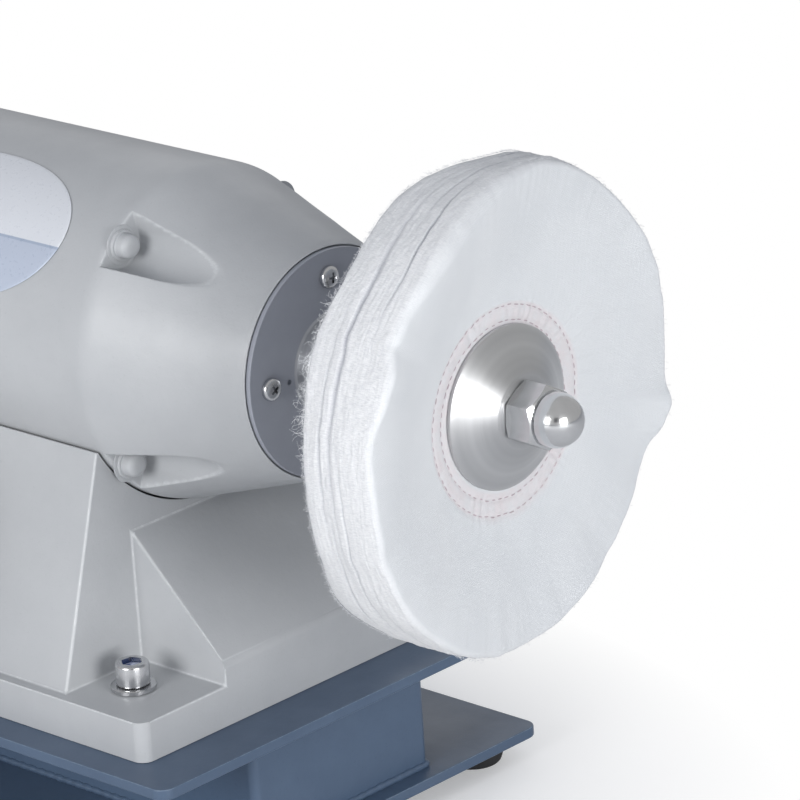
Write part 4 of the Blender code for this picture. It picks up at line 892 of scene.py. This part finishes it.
def add_motor():
    barrel = turned([(-BARREL_END, 72.3), (-BARREL_END, BARREL_RADIUS)]
                    + [(-BARREL_END + 8.0 * step, BARREL_RADIUS) for step in range(1, 24)]
                    + [(BARREL_END, BARREL_RADIUS), (BARREL_END, 72.3)], 240)
    finish_piece("fine_motor_frame", barrel, CASTING)
    for side, turn in SIDES.items():
        end = AT_SHAFT @ turn
        finish_piece(f"fine_{side}_end_bell", end_bell(), CASTING, end, sharp=SOFT_CAST_EDGE)
        finish_piece(f"fine_{side}_bearing_cover", cover_disc(), COVER, end)
        for number in range(4):
            quarter = number * math.pi / 2
            place = end @ round_place(BOLT_CIRCLE, BOLT_TURN + quarter, POCKET_FLOOR + 0.3)
            finish_piece(f"fine_{side}_bell_bolt_{number + 1}", bell_bolt(), CASTING, place)
            place = end @ round_place(SCREW_CIRCLE, quarter, COVER_FACE + 0.3)
            tightened = Matrix.Rotation(0.9 * number + 0.2, 4, "X")
            finish_piece(f"fine_{side}_cover_screw_{number + 1}", cover_screw(), ZINC, place @ tightened)


def add_label():
    """An oval plate with a softened edge, bent round the barrel."""
    half_length, half_height = LABEL_HALF
    radius = BARREL_RADIUS + 0.3 + LABEL_THICKNESS
    rings = [step / 20 for step in range(20)] + [0.985, 0.995, 1.0]
    bm = bmesh.new()
    verts = [bm.verts.new((ring, 0.0, 0.0)) for ring in rings]
    edges = [bm.edges.new(pair) for pair in zip(verts, verts[1:])]
    bmesh.ops.spin(bm, geom=verts + edges, cent=(0, 0, 0), axis=(0, 0, 1), angle=FULL_TURN, steps=128,
                   use_merge=True)
    bmesh.ops.remove_doubles(bm, verts=bm.verts[:], dist=WELD * 0.1)
    for vert in bm.verts:
        ring = math.hypot(vert.co.x, vert.co.y)
        angle = LABEL_MIDDLE + vert.co.y * half_height / BARREL_RADIUS
        height = radius - 0.35 * max(0.0, (ring - 0.985) / 0.015) ** 2
        vert.co = (vert.co.x * half_length, -height * math.cos(angle), height * math.sin(angle))
    bmesh.ops.recalc_face_normals(bm, faces=bm.faces[:])
    if next(iter(bm.faces)).normal.y > 0:
        bmesh.ops.reverse_faces(bm, faces=bm.faces[:])
    bmesh.ops.solidify(bm, geom=bm.faces[:], thickness=0.25)
    finish_piece("fine_label_plate", bm, LABEL)


# Spindle

def flange():
    """A coned flange, its wide face at x = 0."""
    top = FLANGE_HEIGHT
    cone = []
    for step in range(1, 10):
        share = step / 10
        cone.append((FLANGE_RIM + (top - FLANGE_RIM) * share,
                     FLANGE_RADIUS - 0.5 + (FLANGE_BOSS_RADIUS + 0.5 - FLANGE_RADIUS) * share))
    profile = [(0.0, WHEEL_BORE), (0.0, FLANGE_RADIUS - 0.4), (0.4, FLANGE_RADIUS),
               (FLANGE_RIM - 0.5, FLANGE_RADIUS), (FLANGE_RIM, FLANGE_RADIUS - 0.5)] + cone
    profile += [(top - 0.25, FLANGE_BOSS_RADIUS + 0.35), (top, FLANGE_BOSS_RADIUS - 0.3),
                (top, WHEEL_BORE + 0.5), (top - 0.5, WHEEL_BORE)]
    return turned(profile, 192)


def dome_nut():
    """A domed hexagon nut, its seat at x = 0."""
    body = prism([(b, a) for a, b in hexagon_corners(30.0)], 0.0, 16.2, "X")
    bevel(body, lambda e: abs(e.verts[0].co.x - e.verts[1].co.x) > 1.0, 0.35, 2)
    limit = turned([(-1.0, 0.0), (-1.0, 13.2), (0.0, 14.9), (1.5, 17.6), (14.2, 17.6), (16.2, 14.3),
                    (17.0, 13.0), (17.0, 0.0)], 96)
    body = combine(body, shared=[limit])
    dome = [(16.0 + step * 0.8, 13.9) for step in range(1, 6)]
    dome += [(20.0 + 14.0 * math.sin(math.pi / 2 * step / 18), 14.0 * math.cos(math.pi / 2 * step / 18))
             for step in range(1, 18)]
    cap = turned([(10.0, 0.0), (10.0, 12.4), (16.1, 12.6), (16.5, 13.2)] + dome[1:] + [(34.0, 0.0)], 96)
    bore = turned(plain_rod(-2.0, 21.6, 10.4), 48)
    return combine(body, joined=[cap], cut=[bore])


def add_spindle():
    half = [(67.0, 20.0), (67.0, 18.0), (178.4, 18.0), (178.4, 14.7), (197.0, 14.7), (197.0, 14.0),
            (266.4, 14.0), (267.2, 13.2), (267.2, 10.0), (351.6, 10.0), (353.2, 8.6), (353.2, 0.0)]
    profile = [(-x, radius) for x, radius in reversed(half)] + half
    finish_piece("fine_spindle_shaft", turned(profile, 96), SHAFT, body="spindle")
    for side, turn in SIDES.items():
        for part, shape, material, x, facing, sharp in (
                ("inner_flange", flange, TURNED, INNER_FLANGE + FLANGE_HEIGHT, HALF_ROUND, SHARP_EDGE),
                ("outer_flange", flange, TURNED, OUTER_FLANGE, Matrix.Identity(4), SHARP_EDGE),
                ("dome_nut", dome_nut, CHROME, NUT_START, Matrix.Identity(4), NUT_EDGE)):
            place = AT_SHAFT @ turn @ Matrix.Translation((x, 0, 0)) @ facing
            finish_piece(f"fine_{side}_{part}", shape(), material, place, "spindle", sharp=sharp)


# Cloth wheels

# How far the rim's two edges lean out of the clamped faces, every 10 degrees from the front over the top
FRONT_LEAN = (26.8, 25.7, 31.3, 29.8, 28.8, 30.3, 28.8, 25.0, 20.9,
              15.8, 10.0, 5.3, 2.5, 1.1, 1.9, 2.9, 4.0, 2.9,
              0.8, 1.3, 5.4, -3.3, -1.5, 1.3, 4.3, 6.6, 8.3,
              9.9, 14.3, 18.8, 22.3, 23.3, 24.3, 24.3, 25.5, 26.6)
BACK_LEAN = (17.3, 17.3, 16.0, 15.5, 16.5, 17.0, 15.2, 13.0, 14.5,
             18.5, 20.0, 12.0, 6.0, 3.0, 1.0, 0.5, 0.0, 0.0,
             0.0, 0.3, 0.0, 0.0, 0.3, 0.6, 1.2, 2.0, 3.0,
             4.2, 5.5, 6.6, 7.6, 8.4, 9.3, 12.0, 14.8, 16.8)
# Local folds of the front edge: angle in degrees, width in degrees, height
FRONT_FOLDS = ((26.5, 3.6, 2.4), (33.0, 2.2, -1.3), (195.0, 3.4, 4.2), (206.0, 2.4, -1.5), (67.0, 3.0, 1.0),
               (341.0, 3.0, -1.0), (152.0, 3.5, 1.2), (236.0, 4.0, -1.2), (285.0, 3.5, 0.9))
# Gaps between bundles of plies: share of the rim's width from the back, depth, breadth, and the angle and
# spread in degrees of the stretch where the gap is open
PLY_GAPS = ((0.42, 1.3, 1.5, 32.0, 34.0), (0.80, 1.7, 0.65, 60.0, 17.0), (0.62, 0.8, 0.8, 82.0, 16.0),
            (0.25, 0.8, 0.9, 10.0, 22.0), (0.33, 0.9, 0.8, 318.0, 26.0), (0.56, 0.8, 0.7, 340.0, 22.0),
            (0.72, 0.9, 0.8, 300.0, 24.0), (0.30, 0.8, 0.8, 112.0, 26.0), (0.66, 0.9, 0.8, 150.0, 30.0),
            (0.45, 1.0, 0.9, 205.0, 34.0), (0.75, 0.8, 0.7, 238.0, 26.0), (0.18, 0.7, 0.7, 262.0, 30.0))
THREAD_RADIUS = 0.05
STITCH_RADIUS = 0.28
SEWN_CIRCLES = (45.4, 53.4)
SEWN_DROP = 2.2             # the sewn circles' middle below the spindle
# Rings of points on a face: coarse under the flange, fine where it is sewn, and finer towards the rim
FACE_RADII = ((WHEEL_BORE, 24.0, 40.0, 41.5) + tuple(42.5 + step for step in range(14))
              + (57.0, 60.0, 65.0, 71.0, 78.0, 85.0, 92.0, 98.0, 103.0, 107.5, 111.5, 114.8, 117.4, 119.4,
                 120.9))
RIM_COLUMNS = 68
SHOULDER_STEPS = 7
WHEEL_STEPS = 640


def from_table(table, angle):
    """Smooth value of a table that goes once round."""
    place = angle / FULL_TURN * len(table) % len(table)
    first = int(place)
    along = place - first
    before, here, there, beyond = (table[(first + step) % len(table)] for step in (-1, 0, 1, 2))
    return here + 0.5 * along * (there - before + along * (2 * before - 5 * here + 4 * there - beyond
                                                           + along * (3 * (here - there) + beyond - before)))


def apart(angle, degrees):
    """Signed difference between two angles, in degrees."""
    return (math.degrees(angle) - degrees + 180.0) % 360.0 - 180.0


@functools.lru_cache(None)
def cloth_lean(angle, side):
    """How far an edge of the cloth leans out: its broad wave, and its local folds."""
    table = FRONT_LEAN if side > 0 else BACK_LEAN
    spread = FULL_TURN / 36
    broad = sum(from_table(table, angle + spread * step) * share
                for step, share in ((-2, 0.1), (-1, 0.22), (0, 0.36), (1, 0.22), (2, 0.1)))
    local = from_table(table, angle) - broad
    turn_x, turn_y = math.cos(angle), math.sin(angle)
    if side > 0:
        for at, width, height in FRONT_FOLDS:
            local += height * math.exp(-(apart(angle, at) / width) ** 2)
        local += 0.4 * ripple(turn_x * 9.0, turn_y * 9.0) + 0.2 * ripple(turn_x * 30.0, turn_y * 30.0, 4.0)
    else:
        local += 0.7 * ripple(turn_x * 12.0, turn_y * 12.0, 9.0)
    return broad, local


def from_sewn_middle(angle, radius):
    """Distance of a point of the face from the middle of the sewn circles."""
    return math.hypot(radius * math.cos(angle), radius * math.sin(angle) + SEWN_DROP)


@functools.lru_cache(None)
def face_point(angle, radius, side):
    """Where a face of the wheel is along the spindle: its lean, its dimples and its sewn puckers."""
    base = WHEEL_FRONT if side > 0 else WHEEL_BACK
    broad, local = cloth_lean(angle, side)
    share = max(0.0, (radius - 45.0) / (FACE_RADII[-1] - 45.0))
    eased = share * share * (3 - 2 * share) * 0.55 + share * 0.45
    turn_x, turn_y = math.cos(angle), math.sin(angle)
    y, z = radius * turn_x, radius * turn_y
    dimples = 1.3 * ripple(y * 0.024, z * 0.024, side * 7.0) + 0.35 * ripple(y * 0.06, z * 0.06, side * 3.0)
    radial = 0.3 * ripple(turn_x * 4.0, turn_y * 4.0, side * 5.0) * min(1.0, share * 2.0)
    wrinkled = math.exp(-(apart(angle, 168.0) / 34.0) ** 2 - ((radius - 60.0) / 11.0) ** 2)
    radial += 0.8 * wrinkled * ripple(turn_x * 15.0, turn_y * 15.0, radius * 0.05)
    sewn_radius = from_sewn_middle(angle, radius)
    sewn = -sum(0.8 * math.exp(-((sewn_radius - circle) / 1.0) ** 2) for circle in SEWN_CIRCLES)
    gather = math.sin(angle * 47.0 + 5.0 * ripple(turn_x * 3, turn_y * 3))
    gather *= ripple(turn_x * 5, turn_y * 5, 2.0)
    pucker = 0.9 * gather * math.exp(-((sewn_radius - 50.0) / 6.5) ** 2)
    fade = min(1.0, max(0.0, (radius - 43.0) / 12.0))
    shape = (dimples + radial) * fade + (sewn + pucker) * min(1.0, max(0.0, radius - 42.0))
    return base + broad * eased + local * share ** 4 + side * shape


def rim_ends(angle):
    """Where the rim's two rounded edges are along the spindle."""
    return face_point(angle, FACE_RADII[-1], -1.0), face_point(angle, FACE_RADII[-1], 1.0)


def shoulder(angle, side):
    """Size of the rounding between a face and the rim: widest at the front face's upper left."""
    if side < 0:
        return 1.8
    wide = math.exp(-(apart(angle, 66.0) / 26.0) ** 2) * min(1.0, max(0.0, -apart(angle, 103.0) / 7.0))
    return 3.2 + 6.0 * wide


def rim_radius(angle):
    """The wheel's own radius at an angle, before its plies."""
    turn_x, turn_y = math.cos(angle), math.sin(angle)
    return (WHEEL_RADIUS - 0.5 + 0.8 * ripple(turn_x * 3.0, turn_y * 3.0, 6.0)
            + 0.45 * ripple(turn_x * 11.0, turn_y * 11.0, 2.0))


def rim_height(angle, share, width):
    """Radius of the rim at an angle and a share of its width from the back, and how deep it is in a gap."""
    turn_x, turn_y = math.cos(angle) * 8.0, math.sin(angle) * 8.0
    across = share + (0.03 * ripple(turn_x * 0.45, turn_y * 0.45, share * 2.0)
                      + 0.008 * ripple(turn_x * 2, turn_y * 2, 3.0))
    sunk = 0.0
    for at, depth, breadth, middle_angle, spread in PLY_GAPS:
        strength = math.exp(-(apart(angle, middle_angle) / spread) ** 2)
        if strength > 0.02:
            sunk += strength * depth * math.exp(-((across - at) * width / breadth) ** 2)
    plies = 0.2 * ripple(across * width * 0.9, turn_x * 0.7, turn_y * 0.7)
    plies += 0.12 * ripple(across * width * 2.1, turn_x * 1.8, turn_y * 1.8)
    bundles = 0.55 * ripple(across * 5.0, turn_x * 0.5, turn_y * 0.5)
    tufts = 0.26 * ripple(across * width * 0.45, turn_x * 11.0, turn_y * 11.0)
    crown = -0.9 * (2 * share - 1) ** 4
    return crown + plies + bundles + tufts - sunk, min(1.0, sunk / 1.4)


def wheel_skin(turn):
    """The cloth wheel's skin: front face, rim of ply edges and back face, with marks for its material."""
    faces = len(FACE_RADII)
    rounded = [math.pi / 2 * step / SHOULDER_STEPS for step in range(1, SHOULDER_STEPS)]
    total = 2 * (faces + len(rounded)) + RIM_COLUMNS
    pivot = 60.0

    def place(column, angle):
        real = angle + turn
        side = -1.0
        if column >= faces + len(rounded) + RIM_COLUMNS:
            column, side = total - 1 - column, 1.0
        outer = rim_radius(real)
        size = shoulder(real, side)
        face_end = outer - 0.9 - size
        if column < faces:
            radius = FACE_RADII[column]
            if radius > pivot:
                radius = pivot + (radius - pivot) * (face_end - pivot) / (FACE_RADII[-1] - pivot)
            middle_radius = from_sewn_middle(real, radius)
            band = min(1.0, max(0.0, 55.5 - middle_radius)) * min(1.0, max(0.0, middle_radius - 41.0))
            return face_point(real, radius, side), radius, angle, 0.0, 0.0, band
        back, front = rim_ends(real)
        column -= faces
        if column < len(rounded):
            bend = rounded[column]
            start = face_point(real, face_end, side)
            end = (back if side < 0 else front) - side * size
            radius = face_end + size * math.sin(bend)
            return start + (end - start) * (1 - math.cos(bend)), radius, angle, 0.2 + 0.13 * column, 0.0, 0.0
        share = (column - len(rounded)) / (RIM_COLUMNS - 1)
        # How deep a point lies in a gap between plies becomes the hollow mark, for painted shade there.
        height, sunk = rim_height(real, share, front - back)
        start, end = back + shoulder(real, -1.0), front - shoulder(real, 1.0)
        return start + (end - start) * share, outer + height, angle, 1.0, sunk, 0.0

    return grid_round(total, WHEEL_STEPS, ("rim", "hollow", "sewn"), place)


def on_rim(angle, x, radius, turn):
    """A point round the spindle, for threads that are placed by the wheel's own angle."""
    shown = angle - turn
    return Vector((x, -radius * math.cos(shown), radius * math.sin(shown)))


# Where threads have come loose: angle, spread in degrees, count, longest thread, and side of the rim
FRAYED_PLACES = ((13.0, 7.0, 110, 8.0, -1), (31.0, 7.0, 90, 6.5, -1), (46.0, 6.0, 30, 4.0, -1),
                 (290.0, 8.0, 110, 5.0, -1), (298.0, 7.0, 70, 4.5, 1), (104.0, 2.0, 26, 3.5, 1),
                 (78.0, 8.0, 40, 3.0, -1), (345.0, 12.0, 50, 4.0, -1), (325.0, 10.0, 50, 4.0, -1),
                 (200.0, 20.0, 40, 4.0, -1))


def loose_threads(turn, seed):
    """Short cross threads that lie on the rim, fuzz along its back edge, and frayed threads."""
    draw = random.Random(seed)
    lines = []

    def thread(angle, x, length, lift, tilt, pieces=3, curl=0.5):
        points = []
        radius = rim_radius(angle) - 0.3
        heading = math.radians(tilt)
        for _ in range(pieces + 1):
            points.append(on_rim(angle, x, radius, turn))
            heading += draw.uniform(-curl, curl)
            stride = length / pieces
            x += math.cos(heading) * stride
            angle += math.sin(heading) * stride / WHEEL_RADIUS
            radius += stride * (lift + curl * draw.uniform(-0.5, 0.5))
        lines.append(points)

    for _ in range(3800):
        angle = draw.uniform(0, FULL_TURN)
        back, front = rim_ends(round(angle, 2))
        x = back + 2.0 + (front - back - 4.0) * draw.random()
        thread(angle, x, draw.uniform(0.8, 3.0), draw.uniform(-0.1, 0.12), draw.uniform(-35, 35), 2, 0.3)
    for _ in range(2600):
        angle = draw.uniform(0, FULL_TURN)
        back, front = rim_ends(round(angle, 2))
        thread(angle, back + draw.uniform(1.0, 2.4), draw.uniform(0.5, 1.7), draw.uniform(-0.1, 0.45),
               180.0 + draw.uniform(-80, 80))
    for at, spread, count, longest, side in FRAYED_PLACES:
        for _ in range(count):
            angle = math.radians(at + draw.gauss(0, spread))
            back, front = rim_ends(round(angle, 2))
            x = back + draw.uniform(0.6, 3.0) if side < 0 else front - draw.uniform(1.0, 4.0)
            thread(angle, x, draw.uniform(1.0, longest), draw.uniform(0.0, 0.35),
                   (180.0 if side < 0 else 0.0) + draw.uniform(-85, 85), 5, 1.0)
    return lines


def stitches(turn):
    """Dashes of two sewn circles on each face, a little uneven."""
    draw = random.Random(5)
    lines = []
    for circle, count in zip(SEWN_CIRCLES, (60, 70)):
        for side in (1.0, -1.0):
            for index in range(count):
                length = draw.uniform(0.5, 0.74)
                shift = draw.uniform(-0.3, 0.3)
                points = []
                for step in range(5):
                    around = FULL_TURN * (index + length * step / 4) / count
                    y = (circle + shift) * math.cos(around)
                    z = (circle + shift) * math.sin(around) - SEWN_DROP
                    angle, radius = math.atan2(z, y), math.hypot(y, z)
                    if radius < FLANGE_RADIUS + 0.8:
                        break
                    rise = 0.26 - 0.42 * (step / 2 - 1) ** 4
                    x = face_point(angle, radius, side) + side * rise
                    points.append(on_rim(angle, x, radius, turn))
                if len(points) > 2:
                    lines.append(points)
    return lines


def add_wheels():
    for (side, turn), wheel_turn, seed in zip(SIDES.items(), (0.0, LEFT_WHEEL_TURN), (11, 12)):
        end = AT_SHAFT @ turn
        finish_piece(f"fine_{side}_polishing_wheel", wheel_skin(wheel_turn), COTTON, end, "spindle",
                     sharp=CLOTH_EDGE)
        for name, lines, thickness, material in (
                ("threads", loose_threads(wheel_turn, seed), THREAD_RADIUS, FRAYED),
                ("stitches", stitches(wheel_turn), STITCH_RADIUS, STITCH)):
            threads(f"{side}_wheel_{name}", lines, thickness, material, end, "spindle")


# Switch and gland

def panel_place(x, down_share, side):
    """A frame on the block's sloping front or back: +X out of the face, +Z up the slope."""
    z = LIP[1] + (SOLE_TOP - LIP[1]) * down_share
    lean = math.atan2(BLOCK_FOOT_DEPTH - LIP[0], LIP[1] - SOLE_TOP)
    return (AT_SHAFT @ Matrix.Translation((x, side * block_half_depth(z), z))
            @ Matrix.Rotation(side * lean, 4, "X") @ Matrix.Rotation(side * FULL_TURN / 4, 4, "Z"))


def button(top, crown):
    profile = [(-5.0, 0.0), (-5.0, 13.5), (-3.3, 13.5), (-3.3, 11.0), (top - 1.6, 11.0), (top - 0.7, 10.75),
               (top - 0.2, 10.1), (top, 9.2)]
    profile += [(top - crown * (1 - (radius / 9.2) ** 2), radius) for radius in (7.0, 4.5, 2.0)]
    return turned(profile + [(top - crown, 0.0)], 64)


def add_switch():
    panel = panel_place(0.0, 0.463, -1.0)
    half_width, half_height, depth, wall = 29.0, 35.0, 25.0, 3.0
    outside = rounded_box((-half_width, -half_height, 0.3), (half_width, half_height, 0.3 + depth), 6.0, 0.0)
    bevel_with_wear_and_highlight(outside, lambda e: middle(e).z > depth and is_level(e), 1.8, 4)
    turn_out = Matrix(((0, 0, 1, 0), (1, 0, 0, 0), (0, 1, 0, 0), (0, 0, 0, 1)))
    move(outside, turn_out)
    inside = prism([(-half_width + wall, -half_height + wall), (half_width - wall, -half_height + wall),
                    (half_width - wall, half_height - wall), (-half_width + wall, half_height - wall)],
                   -5.0, depth - wall + 0.3, "X")
    holes, collars = [], []
    for height in (START_HEIGHT, STOP_HEIGHT):
        hole = turned(plain_rod(0.0, 40.0, 11.6), 64)
        collar = turned([(24.0, 11.0), (24.0, 14.6), (26.0, 14.6), (26.5, 14.0), (26.6, 12.6),
                         (26.3, 11.4)], 64)
        for bm, group in ((hole, holes), (collar, collars)):
            move(bm, Matrix.Translation((0, 0, height)))
            group.append(bm)
    box = combine(outside, joined=collars, cut=[inside] + holes)
    finish_piece("fine_switch_housing", box, BLACK, panel, even=True)
    for node, height, top, material, crown in (("start_button", START_HEIGHT, 6.0, GREEN, 0.5),
                                               ("stop_button", STOP_HEIGHT, 8.0, RED, -0.4)):
        place = panel @ Matrix.Translation((0.3 + depth, 0.0, height))
        finish_piece(FINE + node, button(top, crown), material, place, node)


def add_gland():
    place = panel_place(62.0, 0.777, 1.0)
    profile = [(0.3, 0.0), (0.3, 11.0), (1.8, 11.0), (2.1, 10.6), (6.2, 10.6), (6.4, 8.2)]
    for step in range(5):
        start = 7.2 + step * 2.2
        profile += [(start, 8.0), (start + 0.8, 7.5), (start + 1.4, 7.5), (start + 2.0, 8.0)]
    profile += [(19.2, 7.9), (20.3, 6.5), (20.3, 4.5), (5.3, 4.5), (5.3, 0.0)]
    finish_piece("fine_cable_gland", turned(profile, 64), BLACK, place)


def dress_hidden_nodes():
    """The motor's inside keeps its CAD shape and gets its finishes."""
    finishes = {"stator_core": LAMINATION, "rotor_core": LAMINATION, "right_winding": COPPER,
                "left_winding": COPPER}
    for name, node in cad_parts.items():
        material = finishes.get(name) or (SHAFT if "bearing_" in name and "ring" in name else None)
        if material:
            for slot in node.material_slots:
                slot.material = material


# Studio

# Soft lamps: name, place, width and height in metres, and watts
LAMPS = (("front_lamp", (0.30, -2.70, 0.95), (1.3, 1.1), 41.0),
         ("right_lamp", (2.70, -0.75, 0.62), (1.0, 1.0), 37.0),
         ("back_lamp", (-1.6, 2.2, 1.6), (1.6, 1.2), 6.0))
LAMP_TARGET = Vector((0.1, 0.0, 0.22))
FLOOR_RADIUS = 12.0
# From the machine's middle the floor keeps its shadow up to the first distance and is white from the second
SHADOW_FADE = (0.17, 0.30)
SHADOW_SHAPE = (0.7, 1.0, 1.0)
FLOOR_LIFT = 0.28
# A dark card beside the camera, which only shiny metal shows
CARD_PLACE, CARD_SIZE, CARD_TURN = (2.05, -1.85, 1.15), 0.9, 0.78
# The photograph's camera, fitted to the ellipses of the flange, the cover and the barrel: place in metres,
# turn round the vertical, height over the horizon and roll in degrees, and lens and sensor in millimetres
CAMERA_PLACE = (1.93863, -1.73748, 1.12965)
CAMERA_TURN, CAMERA_RISE, CAMERA_ROLL = 44.237119, 19.784209, -3.717757
LENS, SENSOR = 231.007, 36.0


def floor_material():
    """Pale floor that fades to white for the camera, away from the machine's shadow."""
    material, graph, shader, place = new_material("floor_white")
    tone = graph.remap(graph.noise(place, 3.0), 0.3, 0.7)
    pale = graph.tint(tone, colour(0.80, 0.80, 0.80), colour(0.83, 0.83, 0.83))
    graph.fill(shader, {"Base Color": pale, "Roughness": 0.9})
    seen = graph.add("LightPath").outputs["Is Camera Ray"]
    shadow_place = graph.stretch(place, SHADOW_SHAPE)
    distance = graph.add("VectorMath", {0: shadow_place}, operation="LENGTH").outputs["Value"]
    white, lift = (graph.add("Emission", {"Color": colour(1.0, 1.0, 1.0), "Strength": strength}).outputs[0]
                   for strength in (1.0, FLOOR_LIFT))
    near = graph.add("AddShader", {0: shader.outputs[0], 1: lift}).outputs[0]
    shown = graph.add("MixShader", {0: graph.remap(distance, *SHADOW_FADE), 1: near, 2: white}).outputs[0]
    result = graph.add("MixShader", {0: seen, 1: shader.outputs[0], 2: shown}).outputs[0]
    graph.put(material.node_tree.nodes["Material Output"].inputs["Surface"], result)
    return material


def add_world():
    """White room: full white for the camera, dimmer for shiny metal and dimmer still as light."""
    world = bpy.data.worlds.new("studio")
    bpy.context.scene.world = world
    world.use_nodes = True
    graph = Graph(world.node_tree)
    path = graph.add("LightPath").outputs
    reflected = graph.math("MAXIMUM", path["Is Glossy Ray"], path["Is Transmission Ray"])
    shiny = graph.times(reflected, SHINE_LEVEL - AMBIENT_LEVEL)
    direct = graph.times_add(path["Is Camera Ray"], 1.0 - AMBIENT_LEVEL, shiny)
    seen = graph.math("MAXIMUM", path["Is Camera Ray"], path["Is Glossy Ray"])
    background = world.node_tree.nodes["Background"].inputs
    graph.put(background["Color"], graph.tint(seen, colour(0.93, 0.97, 1.06), colour(1.0, 1.0, 1.0)))
    graph.put(background["Strength"], graph.math("ADD", direct, AMBIENT_LEVEL))


def add_studio():
    floor_bm = bmesh.new()
    bmesh.ops.create_circle(floor_bm, cap_ends=True, segments=96, radius=FLOOR_RADIUS)
    floor = in_scene("floor", floor_bm)
    floor.data.materials.append(floor_material())
    add_world()
    for name, place, size, power in LAMPS:
        lamp = bpy.data.lights.new(name, "AREA")
        lamp.shape = "RECTANGLE"
        lamp.size, lamp.size_y = size
        lamp.energy = power
        item = in_scene(name, lamp)
        item.location = place
        item.rotation_euler = (LAMP_TARGET - Vector(place)).to_track_quat("-Z", "Y").to_euler()
        item.visible_camera = False
    card_bm = bmesh.new()
    bmesh.ops.create_grid(card_bm, x_segments=1, y_segments=1, size=CARD_SIZE / 2)
    standing = Matrix.Rotation(CARD_TURN, 4, "Z") @ Matrix.Rotation(math.pi / 2, 4, "X")
    move(card_bm, Matrix.Translation(CARD_PLACE) @ standing)
    card = in_scene("card_camera", card_bm)
    card.data.materials.append(RUBBER)
    card.visible_camera = card.visible_diffuse = card.visible_shadow = False
    bpy.context.scene.view_settings.view_transform = "Standard"


def add_camera():
    across, up, roll = (math.radians(angle) for angle in (CAMERA_TURN, CAMERA_RISE, CAMERA_ROLL))
    back = Vector((math.sin(across) * math.cos(up), -math.cos(across) * math.cos(up), math.sin(up)))
    right = Vector((math.cos(across), math.sin(across), 0.0))
    upward = back.cross(right)
    rolled_right = math.cos(roll) * right + math.sin(roll) * upward
    rolled_up = -math.sin(roll) * right + math.cos(roll) * upward
    data = bpy.data.cameras.new("camera")
    data.lens, data.sensor_width = LENS, SENSOR
    data.clip_start, data.clip_end = 0.05, 60.0
    camera = in_scene("camera", data)
    turn = Matrix((rolled_right, rolled_up, back)).transposed().to_4x4()
    camera.matrix_world = Matrix.Translation(CAMERA_PLACE) @ turn
    bpy.context.scene.camera = camera


add_camera()
add_studio()
add_stand()
add_pedestal()
add_hold_screws()
add_motor()
add_label()
add_spindle()
add_wheels()
add_switch()
add_gland()
dress_hidden_nodes()
